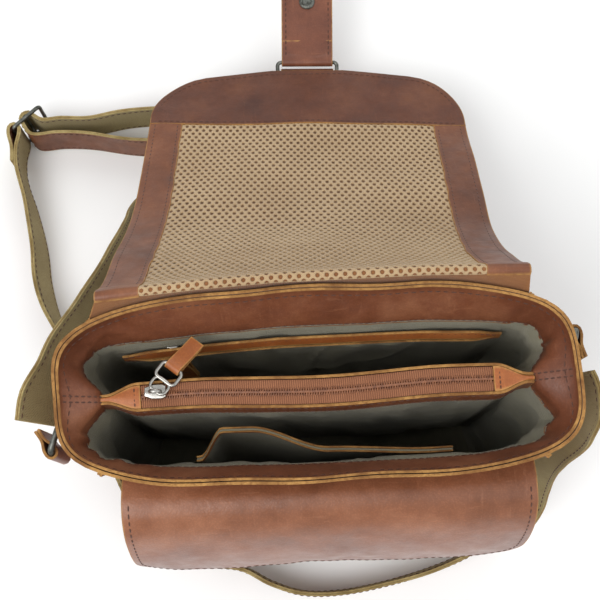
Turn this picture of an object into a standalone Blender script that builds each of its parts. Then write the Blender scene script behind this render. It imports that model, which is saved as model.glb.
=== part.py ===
"""Leather messenger bag: open mouth, main flap thrown back, shoulder strap lying round it.

Millimetres inside this file, metres in the scene.  X runs across the bag, Y runs from the front
(-Y) to the back (+Y), Z is up, and the origin is the middle of the bag's underside.
"""

import math

import bmesh
import bpy
import numpy as np

MM = 0.001

# ---- driving dimensions -------------------------------------------------------------------
HEIGHT = 245.0            # rim above the ground
LEATHER = 1.5             # body, flap and pocket leather
LINING = 0.8              # canvas lining
GAP = 0.3                 # clearance between two pieces that touch on the real bag

# height, half width, half depth and corner power of the outer wall
WALL_STATIONS = (
    (2.0, 122.0, 34.0, 6.0),
    (7.0, 127.5, 38.5, 6.0),
    (30.0, 129.0, 40.0, 6.0),
    (110.0, 131.5, 41.5, 5.5),
    (190.0, 133.0, 42.5, 5.0),
    (217.0, 134.0, 44.5, 4.6),
    (232.0, 136.0, 48.5, 4.2),
    (HEIGHT, 138.0, 52.5, 4.0),
)

FACING_DEPTH = 28.0       # leather band inside the mouth
FRONT_SLACK = 1.5         # how far the inner skin stands off the front and back panels
BACK_SLACK = 6.0
PINCH_WIDTH = 16.0        # reach of the fold where the divider is sewn to each side

DIVIDER_TOP = HEIGHT - 16.0
DIVIDER_BOTTOM = 22.0
DIVIDER_HALF = 113.0      # half length
DIVIDER_HALF_DEPTH = 6.9  # half the width of its zipped top
DIVIDER_TAPER = 96.0      # where each end starts to narrow
ZIP_HALF = 94.0
DIVIDER_SLIDER = (-86.0, 0.0, DIVIDER_TOP + 1.8)

BACK_ZIP_Z = HEIGHT - 45.0
BACK_ZIP_HALF = 100.0
BACK_POUCH_HALF = 86.0

POCKET_X = 4.0            # middle of the front pocket
POCKET_HALF = 103.0
POCKET_TOP = HEIGHT - 38.0
POCKET_BOTTOM = 14.0
POCKET_CORNER = 24.0
POCKET_FLAP_HALF = 109.5
POCKET_FLAP_CORNER = 25.0
POCKET_BEND = (-62.5, HEIGHT - 22.0)     # y, z of the bend the pocket flap turns about

FLAP_AXIS = (57.5, HEIGHT + 1.0)         # y, z of the line the main flap turns about
FLAP_HALF = 115.5
FLAP_TOP_LENGTH = 119.0                  # from the axis to the crease
FLAP_LENGTH = 303.0                      # from the axis to the far edge
FLAP_CORNER = 48.0
FLAP_BAND = 23.0                         # leather border round the mesh lining
FLAP_END_BAND = 62.0
FLAP_ROOT_TRIM = 8.5                     # the lining layers stop short of the axis and the crease
CREASE_TRIM = 2.8

CLOSURE_HALF = 19.5
CLOSURE_LOOP = 24.0       # where the strap's two layers meet, from its ring
CLOSURE_LIFT = 35.0                      # degrees the closure strap rises from the flap's end

STRAP_WIDTH = 32.0
STRAP_LAYER = 1.3
RING_Z = HEIGHT - 42.0
RING_REACH = 15.0                        # between the two long bars of a side ring

# where each side ring turns, which way it reaches, which way the strap leaves it
RINGS = {
    "left": ((-139.2, -14.0, RING_Z), (-0.30, -0.95, 0.0), (-0.55, 0.83, 0.02)),
    "right": ((139.2, 12.0, RING_Z), (0.30, 0.95, 0.0), (0.25, -0.968, -0.03)),
}

BUCKLE = (-211.0, 251.0, STRAP_WIDTH / 2 + 3.2)
BUCKLE_ALONG = (0.75, 0.66, 0.0)         # along the slide's flat frame
BUCKLE_OUT = (0.66, -0.75, 0.0)          # square to it
BUCKLE_BARS = (-13.0, 0.0, 13.0)

COLOURS = {
    "leather_brown": ((0.20, 0.075, 0.036), 0.48, 0.0),
    "leather_dark": ((0.105, 0.038, 0.019), 0.52, 0.0),
    "leather_tan": ((0.36, 0.15, 0.055), 0.5, 0.0),
    "canvas_lining": ((0.10, 0.105, 0.085), 0.9, 0.0),
    "canvas_khaki": ((0.21, 0.145, 0.055), 0.85, 0.0),
    "mesh_beige": ((0.37, 0.27, 0.165), 0.9, 0.0),
    "zip_tape": ((0.17, 0.075, 0.04), 0.8, 0.0),
    "zip_coil": ((0.23, 0.11, 0.06), 0.5, 0.0),
    "silver_metal": ((0.62, 0.62, 0.62), 0.25, 1.0),
    "nickel_antique": ((0.16, 0.17, 0.16), 0.4, 1.0),
}


# ---- mesh helpers -------------------------------------------------------------------------
def clear_scene():
    for obj in list(bpy.data.objects):
        bpy.data.objects.remove(obj, do_unlink=True)


def material(slot):
    """The named material, made on first use."""
    found = bpy.data.materials.get(slot)
    if found:
        return found
    colour, roughness, metallic = COLOURS[slot]
    made = bpy.data.materials.new(slot)
    made.use_nodes = True
    shader = made.node_tree.nodes["Principled BSDF"]
    shader.inputs["Base Color"].default_value = (*colour, 1.0)
    shader.inputs["Roughness"].default_value = roughness
    shader.inputs["Metallic"].default_value = metallic
    made.diffuse_color = (*colour, 1.0)
    return made


def node(name, slot, points, faces, origin=(0.0, 0.0, 0.0)):
    """One closed solid, with its own origin and every face turned outward."""
    origin = np.array(origin, dtype=float)
    mesh = bpy.data.meshes.new(name)
    mesh.from_pydata([tuple((np.array(p) - origin) * MM) for p in points], [], faces)
    work = bmesh.new()
    work.from_mesh(mesh)
    bmesh.ops.recalc_face_normals(work, faces=work.faces)
    work.to_mesh(mesh)
    work.free()
    mesh.shade_smooth()
    mesh.set_sharp_from_angle(angle=math.radians(40.0))
    obj = bpy.data.objects.new(name, mesh)
    obj.location = origin * MM
    mesh.materials.append(material(slot))
    bpy.context.scene.collection.objects.link(obj)
    return obj


def quads(rows, columns, start, closed_columns=False):
    """Faces of a grid of points numbered row by row from start."""
    span = columns if closed_columns else columns - 1
    faces = []
    for r in range(rows - 1):
        for c in range(span):
            d = (c + 1) % columns
            low, high = start + r * columns, start + (r + 1) * columns
            faces.append((low + c, low + d, high + d, high + c))
    return faces


def slab(name, slot, front, back, origin=(0.0, 0.0, 0.0), holes=()):
    """A sheet between two grids of points of the same shape; holes lists the cells left out."""
    rows, columns = len(front), len(front[0])
    count = rows * columns
    points = [p for row in front for p in row] + [p for row in back for p in row]
    kept = {(r, c) for r in range(rows - 1) for c in range(columns - 1)} - set(holes)
    faces = []
    for r, c in sorted(kept):
        ring = (r * columns + c, r * columns + c + 1,
                (r + 1) * columns + c + 1, (r + 1) * columns + c)
        faces += [ring, tuple(count + i for i in ring)]
        for i, (dr, dc) in enumerate(((-1, 0), (0, 1), (1, 0), (0, -1))):
            if (r + dr, c + dc) not in kept:
                here, after = ring[i], ring[(i + 1) % 4]
                faces.append((here, after, count + after, count + here))
    return node(name, slot, points, faces, origin)


def cup(name, slot, outer, inner, origin=(0.0, 0.0, 0.0)):
    """A thin vessel, open at the top: rings run from the rim down to the floor."""
    rings, columns = len(outer), len(outer[0])
    count = rings * columns
    points = [p for ring in outer for p in ring] + [p for ring in inner for p in ring]
    faces = quads(rings, columns, 0, True) + quads(rings, columns, count, True)
    for c in range(columns):
        d = (c + 1) % columns
        faces.append((c, d, count + d, count + c))
    for start in (count - columns, 2 * count - columns):
        faces.append(tuple(range(start, start + columns)))
    return node(name, slot, points, faces, origin)


def rod(name, slot, rings, closed, origin=(0.0, 0.0, 0.0)):
    """A solid swept through rings of points; closed joins the last ring to the first."""
    count, columns = len(rings), len(rings[0])
    points = [p for ring in rings for p in ring]
    faces = quads(count, columns, 0, True)
    if closed:
        last = (count - 1) * columns
        for c in range(columns):
            d = (c + 1) % columns
            faces.append((last + c, last + d, d, c))
    else:
        faces.append(tuple(range(columns)))
        faces.append(tuple(range((count - 1) * columns, count * columns)))
    return node(name, slot, points, faces, origin)


def block(name, slot, low, high, origin=(0.0, 0.0, 0.0)):
    """A box between two opposite corners."""
    rings = []
    for z in (low[2], high[2]):
        rings.append([(low[0], low[1], z), (high[0], low[1], z),
                      (high[0], high[1], z), (low[0], high[1], z)])
    return rod(name, slot, rings, False, origin)


def disc(name, slot, centre, normal, radius, thickness, origin, sides=20):
    """A short cylinder standing on centre along normal."""
    normal = unit(normal)
    side = unit(np.cross(normal, (1.0, 0.0, 0.0) if abs(normal[0]) < 0.9 else (0.0, 1.0, 0.0)))
    other = np.cross(normal, side)
    rings = []
    for height in (0.0, thickness):
        ring = []
        for i in range(sides):
            turn = 2.0 * math.pi * i / sides
            spoke = math.cos(turn) * side + math.sin(turn) * other
            ring.append(np.array(centre) + height * normal + radius * spoke)
        rings.append(ring)
    return rod(name, slot, rings, False, origin)


def merge(first, *others):
    """Union the other solids into the first and remove them."""
    for other in others:
        modifier = first.modifiers.new("union", "BOOLEAN")
        modifier.operation = "UNION"
        modifier.solver = "EXACT"
        modifier.object = other
    bpy.context.view_layer.update()
    evaluated = first.evaluated_get(bpy.context.evaluated_depsgraph_get())
    joined = bpy.data.meshes.new_from_object(evaluated)
    first.modifiers.clear()
    first.data = joined
    for other in others:
        bpy.data.objects.remove(other, do_unlink=True)
    first.data.set_sharp_from_angle(angle=math.radians(40.0))
    return first


# ---- vectors and paths --------------------------------------------------------------------
def unit(v):
    v = np.array(v, dtype=float)
    return v / np.linalg.norm(v)


def square_to(axis, v):
    """The part of v square to axis, one long."""
    return unit(np.array(v) - np.array(axis) * np.dot(v, axis))


def smooth(t):
    t = min(max(t, 0.0), 1.0)
    return t * t * (3.0 - 2.0 * t)


def spread(count, low=-1.0, high=1.0):
    return [low + (high - low) * i / (count - 1) for i in range(count)]


def through(keys, step):
    """Points about one step apart along a smooth curve through every key."""
    keys = [np.array(k, dtype=float) for k in keys]
    keys = [2 * keys[0] - keys[1]] + keys + [2 * keys[-1] - keys[-2]]
    spans = [math.sqrt(np.linalg.norm((b - a)[:3])) for a, b in zip(keys, keys[1:])]
    out = []
    for i in range(1, len(keys) - 2):
        p0, p1, p2, p3 = keys[i - 1:i + 3]
        d0, d1, d2 = spans[i - 1:i + 2]
        leave = d1 * ((p1 - p0) / d0 - (p2 - p0) / (d0 + d1)) + p2 - p1
        arrive = d1 * ((p3 - p2) / d2 - (p3 - p1) / (d1 + d2)) + p2 - p1
        pieces = max(1, round(d1 ** 2 / step))
        for j in range(pieces):
            t = j / pieces
            out.append((2 * t ** 3 - 3 * t ** 2 + 1) * p1 + (t ** 3 - 2 * t ** 2 + t) * leave
                       + (3 * t ** 2 - 2 * t ** 3) * p2 + (t ** 3 - t ** 2) * arrive)
    out.append(keys[-2])
    return out


def ribbon_rings(path, low, high, width):
    """Flat sections along a path of x, y, z and the direction of the ribbon's width.

    low and high are the two faces' distances to the left of the path, seen with the width up.
    """
    rings = []
    for i, key in enumerate(path):
        here, across = key[:3], key[3:]
        ahead = path[min(i + 1, len(path) - 1)][:3] - path[max(i - 1, 0)][:3]
        ahead = unit(ahead)
        across = unit(across - ahead * np.dot(across, ahead))
        left = np.cross(across, ahead)
        half = across * width / 2
        rings.append([here + left * low - half, here + left * high - half,
                      here + left * high + half, here + left * low + half])
    return rings


def ribbon(name, slot, path, low, high, width, origin=(0.0, 0.0, 0.0)):
    """A strap along a path; both its faces are split along the same diagonals, so layers nest."""
    rings = ribbon_rings(path, low, high, width)
    faces = [(0, 1, 2, 3), tuple(4 * (len(rings) - 1) + i for i in range(4))]
    for start in range(0, 4 * (len(rings) - 1), 4):
        for a, b in ((0, 1), (3, 2), (0, 3), (1, 2)):
            here, after = start + a, start + b
            faces += [(here, after, after + 4), (here, after + 4, here + 4)]
    return node(name, slot, [p for ring in rings for p in ring], faces, origin)


def ring_solid(name, slot, centre, long_way, short_way, half_long, half_short, corner, wire,
               origin=(0.0, 0.0, 0.0)):
    """A rounded rectangle of round wire; half sizes are to the wire's middle."""
    long_way, short_way = unit(long_way), unit(short_way)
    normal = np.cross(long_way, short_way)
    rings = []
    for turn, along, down in ((0, 1, 1), (90, -1, 1), (180, -1, -1), (270, 1, -1)):
        middle = along * (half_long - corner) * long_way + down * (half_short - corner) * short_way
        for angle in np.radians((turn, turn + 30, turn + 60, turn + 90)):
            out = math.cos(angle) * long_way + math.sin(angle) * short_way
            spine = np.array(centre) + middle + corner * out
            rings.append([spine + wire * (math.cos(a) * out + math.sin(a) * normal)
                          for a in np.radians(range(0, 360, 45))])
    return rod(name, slot, rings, True, origin)


def fold_path(bar, away, width_way, radius, spread_to, length):
    """Path of a strap end that wraps a bar and lies back on itself; away points to the strap."""
    away, width_way = unit(away), unit(width_way)
    side = np.cross(width_way, away)
    keys = []
    for along, out in ((length, spread_to), (length * 0.55, spread_to), (radius * 0.9, radius)):
        keys.append(np.array(bar) + away * along - side * out)
    for angle in np.radians((200, 235, 270, 305, 340)):
        keys.append(np.array(bar) + radius * (math.cos(angle) * side + math.sin(angle) * away))
    for along, out in ((radius * 0.9, radius), (length * 0.55, spread_to), (length, spread_to)):
        keys.append(np.array(bar) + away * along + side * out)
    return [np.concatenate((k, width_way)) for k in keys]


# ---- the bag's own surfaces ---------------------------------------------------------------
def wall(z, inset=0.0):
    """Half width, half depth and corner power of the wall at a height."""
    heights = [s[0] for s in WALL_STATIONS]
    a, b, n = (np.interp(z, heights, [s[i] for s in WALL_STATIONS]) for i in (1, 2, 3))
    return a - inset, b - inset, n


def wall_y(x, z, inset=0.0):
    a, b, n = wall(z, inset)
    return b * (1.0 - min(abs(x) / a, 1.0) ** n) ** (1.0 / n)


def wall_x(y, z, inset=0.0):
    a, b, n = wall(z, inset)
    return a * (1.0 - min(abs(y) / b, 1.0) ** n) ** (1.0 / n)


def wall_point(side, u, z, inset=0.0):
    """A point of the wall; u runs from one corner seam (-1) to the next (1)."""
    a, b, n = wall(z, inset)
    corner = 0.5 ** (1.0 / n)
    trim = 1.0 - 0.25 / b
    if side in ("front", "back"):
        x = u * corner * a * (1.0 - 0.25 / a)
        y = wall_y(x, z, inset)
        return (x, -y if side == "front" else y, z)
    y = u * corner * b * trim
    x = wall_x(y, z, inset)
    return (-x if side == "left" else x, y, z)


def inner_point(side, u, z, depth):
    """A point of the inner skin, depth inside the face that looks at the wall's leather."""
    x, y, z = wall_point(side, u, z, LEATHER + 2 * GAP + depth)
    drop = HEIGHT - z
    if side in ("front", "back"):
        slack = FRONT_SLACK if side == "front" else -BACK_SLACK
        return (x, y + slack * smooth(drop / FACING_DEPTH) * (1.0 - u ** 8), z)
    pinch = wall_x(0.0, z, LEATHER + 2 * GAP) - (DIVIDER_HALF + 4.0)
    pinch *= smooth(drop / (HEIGHT - DIVIDER_TOP)) * math.exp(-(y / PINCH_WIDTH) ** 2)
    return (x + pinch if side == "left" else x - pinch, y, z)


def skin(name, slot, side, heights, columns, point, near, far):
    """A sheet of the wall or the inner skin between two depths."""
    grids = [[[point(side, u, z, d) for u in spread(columns)] for z in heights] for d in (near, far)]
    return slab(name, slot, *grids)


# ---- body ---------------------------------------------------------------------------------
def body_panels():
    heights = [s[0] for s in WALL_STATIONS]
    for side, columns in (("front", 17), ("back", 17), ("left", 11), ("right", 11)):
        name = "gusset_" + side if side in ("left", "right") else side + "_panel"
        skin(name, "leather_brown", side, heights, columns, wall_point, 0.0, LEATHER)
    outline = [wall_point(s, u, 2.0, 1.2)[:2] for s, us in (
        ("right", spread(7)), ("back", spread(15, 1, -1)),
        ("left", spread(7, 1, -1)), ("front", spread(15))) for u in us]
    rings = [[(x, y, z) for x, y in outline] for z in (0.0, 1.7)]
    rod("bottom_panel", "leather_brown", rings, False)


def facings():
    heights = [HEIGHT, HEIGHT - 6.0, HEIGHT - 13.0, HEIGHT - 20.0, HEIGHT - FACING_DEPTH]
    for side, columns in (("front", 17), ("back", 17), ("left", 11), ("right", 11)):
        skin("facing_" + side, "leather_brown", side, heights, columns, inner_point, 0.0, 1.3)


def lining():
    """The canvas bag inside, sewn under the facings."""
    heights = [HEIGHT - FACING_DEPTH - 0.6, 205.0, 170.0, 120.0, 70.0, 30.0, 12.0, 5.0]
    rings = [[], []]
    for z in heights:
        for ring, depth in zip(rings, (0.5, 0.5 + LINING)):
            depth += 4.0 * smooth((12.0 - z) / 7.0)
            lift = 0.0 if depth < 0.5 + LINING or z > 5.0 else LINING
            loop = []
            for side, us in (("right", spread(11)), ("back", spread(13, 1, -1)),
                             ("left", spread(11, 1, -1)), ("front", spread(13))):
                for u in us[:-1]:
                    x, y, _ = inner_point(side, u, z, depth)
                    loop.append((x, y, z + lift))
            ring.append(loop)
    cup("lining", "canvas_lining", *rings)


# ---- zipped divider -----------------------------------------------------------------------
def divider_half(x):
    """Half depth of the divider's top at x: narrows to each end."""
    return DIVIDER_HALF_DEPTH - 5.6 * smooth((abs(x) - DIVIDER_TAPER) / (DIVIDER_HALF - DIVIDER_TAPER))


def divider_columns():
    return [-DIVIDER_HALF, -107.0, -101.0] + spread(13, -DIVIDER_TAPER, DIVIDER_TAPER) \
        + [101.0, 107.0, DIVIDER_HALF]


def divider_walls():
    belly = ((DIVIDER_BOTTOM, 0.2), (60.0, 1.0), (150.0, 1.25), (DIVIDER_TOP, 1.0))
    heights = (DIVIDER_TOP - 0.4, 205.0, 150.0, 90.0, 50.0, DIVIDER_BOTTOM)
    for name, sign in (("divider_wall_front", -1.0), ("divider_wall_back", 1.0)):
        grids = [[], []]
        for z in heights:
            swell = np.interp(z, [b[0] for b in belly], [b[1] for b in belly])
            for grid, inset in zip(grids, (0.2, 0.2 + LINING)):
                row = []
                for x in divider_columns():
                    y = max(divider_half(x) * swell, 1.3) - inset
                    row.append((x * 0.996, sign * y, z))
                grid.append(row)
        slab(name, "canvas_lining", *grids)


def divider_bands():
    """Leather edge down each side of the zip: a deep band in front, a narrow one behind."""
    for name, sign, depth in (("divider_band_front", -1.0, 16.0), ("divider_band_back", 1.0, 9.0)):
        top = DIVIDER_TOP + 1.2
        swell = 1.0 + 0.06 * depth / 16.0
        grids = [[], []]
        for z, scale in ((top, 1.0), (top - depth / 2, 0.5 + swell / 2), (top - depth, swell)):
            for grid, out in zip(grids, (0.2, 0.2 + LEATHER)):
                grid.append([(x, sign * (divider_half(x) * scale + out), z)
                             for x in divider_columns()])
        slab(name, "leather_brown", *grids)


def divider_zip():
    z = DIVIDER_TOP
    for name, sign in (("divider_zip_tape_front", -1.0), ("divider_zip_tape_back", 1.0)):
        columns = spread(15, -ZIP_HALF, ZIP_HALF)
        grids = [[[(x, sign * 2.9, z + up) for x in columns],
                  [(x, sign * (divider_half(x) - 0.2), z + up) for x in columns]]
                 for up in (0.2, 0.8)]
        slab(name, "zip_tape", *grids)
    block("divider_zip_chain", "zip_coil", (-ZIP_HALF, -2.6, z - 0.2), (ZIP_HALF, 2.6, z + 1.4))
    for name, sign in (("divider_end_tab_left", -1.0), ("divider_end_tab_right", 1.0)):
        columns = [sign * x for x in (ZIP_HALF + 0.6, 98.0, 102.0, 107.0, 112.0)]
        grids = [[[(x, side * (divider_half(x) - 0.1), z + up) for x in columns]
                  for side in (-1.0, 1.0)] for up in (0.0, 1.4)]
        slab(name, "leather_brown", *grids)


def slider(name, centre, along, up, origin):
    """Zip slider: a plate over the coil with a wire bail on top."""
    centre, along, up = np.array(centre), unit(along), unit(up)
    across = np.cross(up, along)
    rings = []
    for x, half in ((-5.5, 2.6), (-3.5, 4.0), (3.5, 4.0), (5.5, 3.2)):
        rings.append([centre + along * x + across * y + up * z
                      for y, z in ((-half, 0.0), (half, 0.0), (half * 0.9, 1.8), (-half * 0.9, 1.8))])
    plate = rod(name, "silver_metal", rings, False, origin)
    bail = []
    for angle in np.radians(range(-15, 196, 15)):
        spine = centre + along * 3.2 * math.cos(angle) + up * (1.6 + 3.0 * math.sin(angle))
        out = math.cos(angle) * along + math.sin(angle) * up
        bail.append([spine + 0.7 * (math.cos(a) * out + math.sin(a) * across)
                     for a in np.radians(range(0, 360, 60))])
    return merge(plate, rod(name + "_bail", "silver_metal", bail, False, origin))


def divider_slider():
    x, y, z = DIVIDER_SLIDER
    slider("divider_slider", DIVIDER_SLIDER, (1, 0, 0), (0, 0, 1), DIVIDER_SLIDER)
    # the figure-eight pull hangs on the bail and leans back over the zip
    lean = unit((0.62, 0.78, 0.0))
    wide = unit(np.cross(lean, (0, 0, 1)))
    pivot = np.array((x + 0.2, y, z + 2.7))
    first = ring_solid("divider_puller", "silver_metal", pivot + lean * 3.8, wide, lean,
                       4.8, 3.8, 2.0, 0.7, pivot)
    second = ring_solid("divider_puller_outer", "silver_metal", pivot + lean * 11.6, wide, lean,
                        6.2, 4.4, 1.6, 0.85, pivot)
    merge(first, second)
    bar = pivot + lean * 16.0
    path = through(fold_path(bar, square_to(wide, (0.10, 0.92, -0.38)), wide, 1.9, 0.85, 21.0), 3.0)
    ribbon("divider_pull_tab", "leather_tan", path, -0.7, 0.7, 8.4, bar)


# ---- pockets inside the mouth -------------------------------------------------------------


def back_wall_y(x, z):
    """Face of the lining's back wall at x."""
    a, _, n = wall(z, LEATHER + 2 * GAP + 0.5 + LINING)
    return inner_point("back", x / (a * 0.5 ** (1.0 / n)), z, 0.5 + LINING)[1]


def on_back_wall(name, slot, x_cells, z_cells, near, far, holes=()):
    """A sheet laid on the lining's back wall."""
    grids = [[[(x, back_wall_y(x, z) - depth, z) for x in x_cells] for z in z_cells]
             for depth in (near, far)]
    slab(name, slot, *grids, holes=holes)


def back_pocket():
    x_cells = [-BACK_ZIP_HALF - 6.0] + spread(13, -BACK_ZIP_HALF, BACK_ZIP_HALF) \
        + [BACK_ZIP_HALF + 6.0]
    z_cells = [BACK_ZIP_Z + dz for dz in (-8.0, -3.6, 3.6, 8.0)]
    holes = [(1, c) for c in range(1, len(x_cells) - 2)]
    on_back_wall("back_pocket_welt", "leather_tan", x_cells, z_cells, 0.4, 1.7, holes)
    inner = spread(13, -BACK_ZIP_HALF + 0.6, BACK_ZIP_HALF - 0.6)
    on_back_wall("back_pocket_zip_tape", "zip_tape", inner,
                 [BACK_ZIP_Z + dz for dz in (-3.2, 0.0, 3.2)], 0.4, 0.9)
    on_back_wall("back_pocket_zip_chain", "zip_coil", inner,
                 [BACK_ZIP_Z + dz for dz in (-2.2, 2.2)], 1.1, 2.3)
    outer, inside = [], []
    for z in (BACK_ZIP_Z - 6.0, 140.0, 90.0, 72.0):
        outer_ring, inner_ring = [], []
        for ring, pad in ((outer_ring, 0.0), (inner_ring, 0.6)):
            xs = spread(11, -BACK_POUCH_HALF + pad, BACK_POUCH_HALF - pad)
            low = [(x, wall_y(x, z, LEATHER) - 0.9 - pad, z) for x in xs]
            high = [(x, wall_y(x, z, LEATHER) - 3.3 + pad, z) for x in reversed(xs)]
            lift = 0.6 if pad and z == 72.0 else 0.0
            ring += [(px, py, pz + lift) for px, py, pz in low + high]
        outer.append(outer_ring)
        inside.append(inner_ring)
    cup("back_pocket_pouch", "canvas_lining", outer, inside)


def back_slider():
    x = -80.0
    y = back_wall_y(x, BACK_ZIP_Z) - 2.6
    centre = (x, y, BACK_ZIP_Z)
    slider("back_pocket_slider", centre, (0, 0, 1), (0, -1, 0), centre)
    pivot = np.array((x, y - 2.6, BACK_ZIP_Z - 1.0))
    down = unit((0.18, -0.35, -0.92))
    wide = square_to(down, (0.98, 0.0, 0.19))
    ring_solid("back_pocket_puller", "silver_metal", pivot + down * 6.5, wide, down,
               6.2, 6.5, 1.4, 0.8, pivot)
    bar = pivot + down * 13.0
    path = through(fold_path(bar, square_to(wide, (0.25, -0.15, -0.95)), wide, 1.8, 0.85, 24.0), 3.0)
    ribbon("back_pocket_pull_tab", "leather_tan", path, -0.7, 0.7, 9.2, bar)


def slip_bulge(x):
    """How far the slip pocket's mouth stands off the lining: it gapes at its left end."""
    rise = smooth((x + 66.0) / 12.0)
    gape = 12.5 * (1.0 - smooth((x + 38.0) / 44.0))
    slack = 3.0 * (1.0 - smooth((x - 5.0) / 60.0))
    return 1.6 + rise * (gape + slack)


def slip_rows(levels, near, far):
    """Near and far grids of a slip pocket layer; levels gives each row's height and fullness."""
    columns = spread(9, -68.0, -20.0) + spread(8, -8.0, 74.0)
    grids = []
    for depth in (near, far):
        grid = []
        for z, fullness in levels:
            half, _, power = wall(z, LEATHER + 2 * GAP)
            corner = half * 0.5 ** (1.0 / power)
            row = []
            for x in columns:
                y = inner_point("front", x / corner, z, 0.5 + LINING)[1]
                row.append((x, y + slip_bulge(x) * fullness + depth, z))
            grid.append(row)
        grids.append(grid)
    return grids


def slip_pocket():
    top = HEIGHT - 41.0
    pouch = ((top, 1.0), (top - 30.0, 0.85), (top - 70.0, 0.5), (top - 110.0, 0.1))
    slab("slip_pocket", "canvas_lining", *slip_rows(pouch, 0.5, 1.4))
    trim = ((top + 0.4, 1.0), (top + 5.0, 1.0), (top + 9.5, 1.0))
    slab("slip_pocket_trim", "leather_tan", *slip_rows(trim, 0.1, 2.3))


# ---- front pocket -------------------------------------------------------------------------
def pocket_outline(half, top, bottom, corner, steps):
    """U of the pocket in x and z, from the top left round the bottom to the top right."""
    left = [(-half, z) for z in spread(6, top, bottom + corner)]
    turn = [(-half + corner - corner * math.cos(a), bottom + corner - corner * math.sin(a))
            for a in np.radians(spread(steps, 0.0, 90.0))[1:]]
    floor = [(x, bottom) for x in spread(11, -half + corner, 0.0)[1:]]
    half_outline = left + turn + floor
    return half_outline + [(-x, z) for x, z in reversed(half_outline[:-1])]


def pocket_face_y(x, z):
    """Front of the pocket: fuller in the middle, drawn in at the top and the bottom."""
    depth = np.interp(z, (POCKET_BOTTOM, 40.0, 100.0, 160.0, POCKET_TOP), (75.0, 82.0, 85.0, 81.0, 70.0))
    return -(depth + 1.6 * (1.0 - (x / POCKET_HALF) ** 2))


def pocket_body():
    outer = pocket_outline(POCKET_HALF, POCKET_TOP, POCKET_BOTTOM, POCKET_CORNER, 6)
    inner = pocket_outline(POCKET_HALF - LEATHER, POCKET_TOP, POCKET_BOTTOM + LEATHER,
                           POCKET_CORNER - LEATHER, 6)
    grids = [[], []]
    for grid, outline in zip(grids, (outer, inner)):
        for t in spread(3, 0.0, 1.0):
            row = []
            for x, z in outline:
                back = -wall_y(x + POCKET_X, z) - 0.5
                front = pocket_face_y(x, z) + LEATHER + 3 * GAP
                row.append((x + POCKET_X, back + (front - back) * t, z))
            grid.append(row)
    slab("pocket_gusset", "leather_brown", *grids)
    grids = [[], []]
    for grid, inset in zip(grids, (0.0, LEATHER)):
        for z in (POCKET_TOP, 180.0, 150.0, 120.0, 90.0, 60.0, POCKET_BOTTOM + POCKET_CORNER,
                  28.0, 20.0, 16.0, POCKET_BOTTOM):
            below = max(0.0, POCKET_BOTTOM + POCKET_CORNER - z)
            half = POCKET_HALF - POCKET_CORNER + math.sqrt(POCKET_CORNER ** 2 - below ** 2)
            grid.append([(POCKET_X + u * half, pocket_face_y(u * half, z) + inset, z)
                         for u in spread(15)])
    slab("pocket_face", "leather_brown", *grids)


def pocket_flap_line(s):
    """y, z and outward direction of the pocket flap's top face, s along it from the bend."""
    knots = (0.0, 10.0, 22.0, 45.0, 82.0)
    angles = (203.0, 225.0, 245.0, 256.0, 265.0)
    return bent_line(POCKET_BEND, knots, angles, s)


def bent_line(start, knots, angles, s):
    """Follow a line whose direction changes smoothly; returns y, z and its left-hand normal."""
    y, z = start
    steps = max(2, math.ceil(abs(s) / 2.0))
    for i in range(steps):
        direction = math.radians(np.interp(s * (i + 0.5) / steps, knots, angles))
        y += math.cos(direction) * s / steps
        z += math.sin(direction) * s / steps
    direction = math.radians(np.interp(s, knots, angles))
    return y, z, (-math.sin(direction), math.cos(direction))


def leaf(name, slot, line, lengths, half_at, near, far, origin, across, shift=0.0, holes=()):
    """A curved flap: line gives its profile, half_at its half width, across the columns' shares."""
    grids = [[], []]
    for grid, depth in zip(grids, (near, far)):
        for s in lengths:
            y, z, (ny, nz) = line(s)
            half = half_at(s)
            grid.append([(shift + u * half, y + ny * depth, z + nz * depth) for u in across])
    return slab(name, slot, *grids, origin, holes)


def rounded(half, length, corner):
    """Half width at s of a leaf with rounded far corners."""
    def half_at(s):
        past = max(0.0, s - (length - corner))
        return half - corner + math.sqrt(max(corner ** 2 - past ** 2, 0.0))
    return half_at


def pocket_flap():
    origin = (POCKET_X, *POCKET_BEND)
    length = 80.0
    half_at = rounded(POCKET_FLAP_HALF, length, POCKET_FLAP_CORNER)
    lengths = [1.5, 8.0, 16.0, 26.0, 38.0, 50.0, 58.0, 65.0, 71.0, 76.0, 79.0, length]
    leaf("pocket_flap", "leather_brown", pocket_flap_line, lengths, half_at, -LEATHER, 0.0, origin,
         spread(13), POCKET_X)
    root = [
        (-wall_y(0.0, HEIGHT - 26.0) - 0.4, HEIGHT - 26.0),
        (-52.0, HEIGHT - 22.6),
        (-57.0, HEIGHT - 21.2),
        (POCKET_BEND[0] + 1.0, POCKET_BEND[1] - 0.3),
    ]
    grids = [[], []]
    for grid, down in zip(grids, (0.0, LEATHER)):
        for i, (y, z) in enumerate(root):
            row = []
            for u in spread(15):
                x = POCKET_X + u * POCKET_FLAP_HALF
                inward = (wall_y(0.0, z) - wall_y(x, z)) * (1.0 - i / (len(root) - 1))
                row.append((x, y + inward, z - down))
            grid.append(row)
    slab("pocket_flap_root", "leather_brown", *grids)


# ---- main flap ----------------------------------------------------------------------------
def flap_line(s):
    """y, z and upper normal of the flap's leather, s along it from its axis."""
    knots = (0.0, 20.0, 60.0, 105.0, 130.0, 170.0, 215.0, 240.0, 303.0)
    angles = (-80.0, -68.0, -55.0, -51.0, -41.5, -37.5, -33.0, -28.0, -22.0)
    return bent_line(FLAP_AXIS, knots, angles, s)


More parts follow.
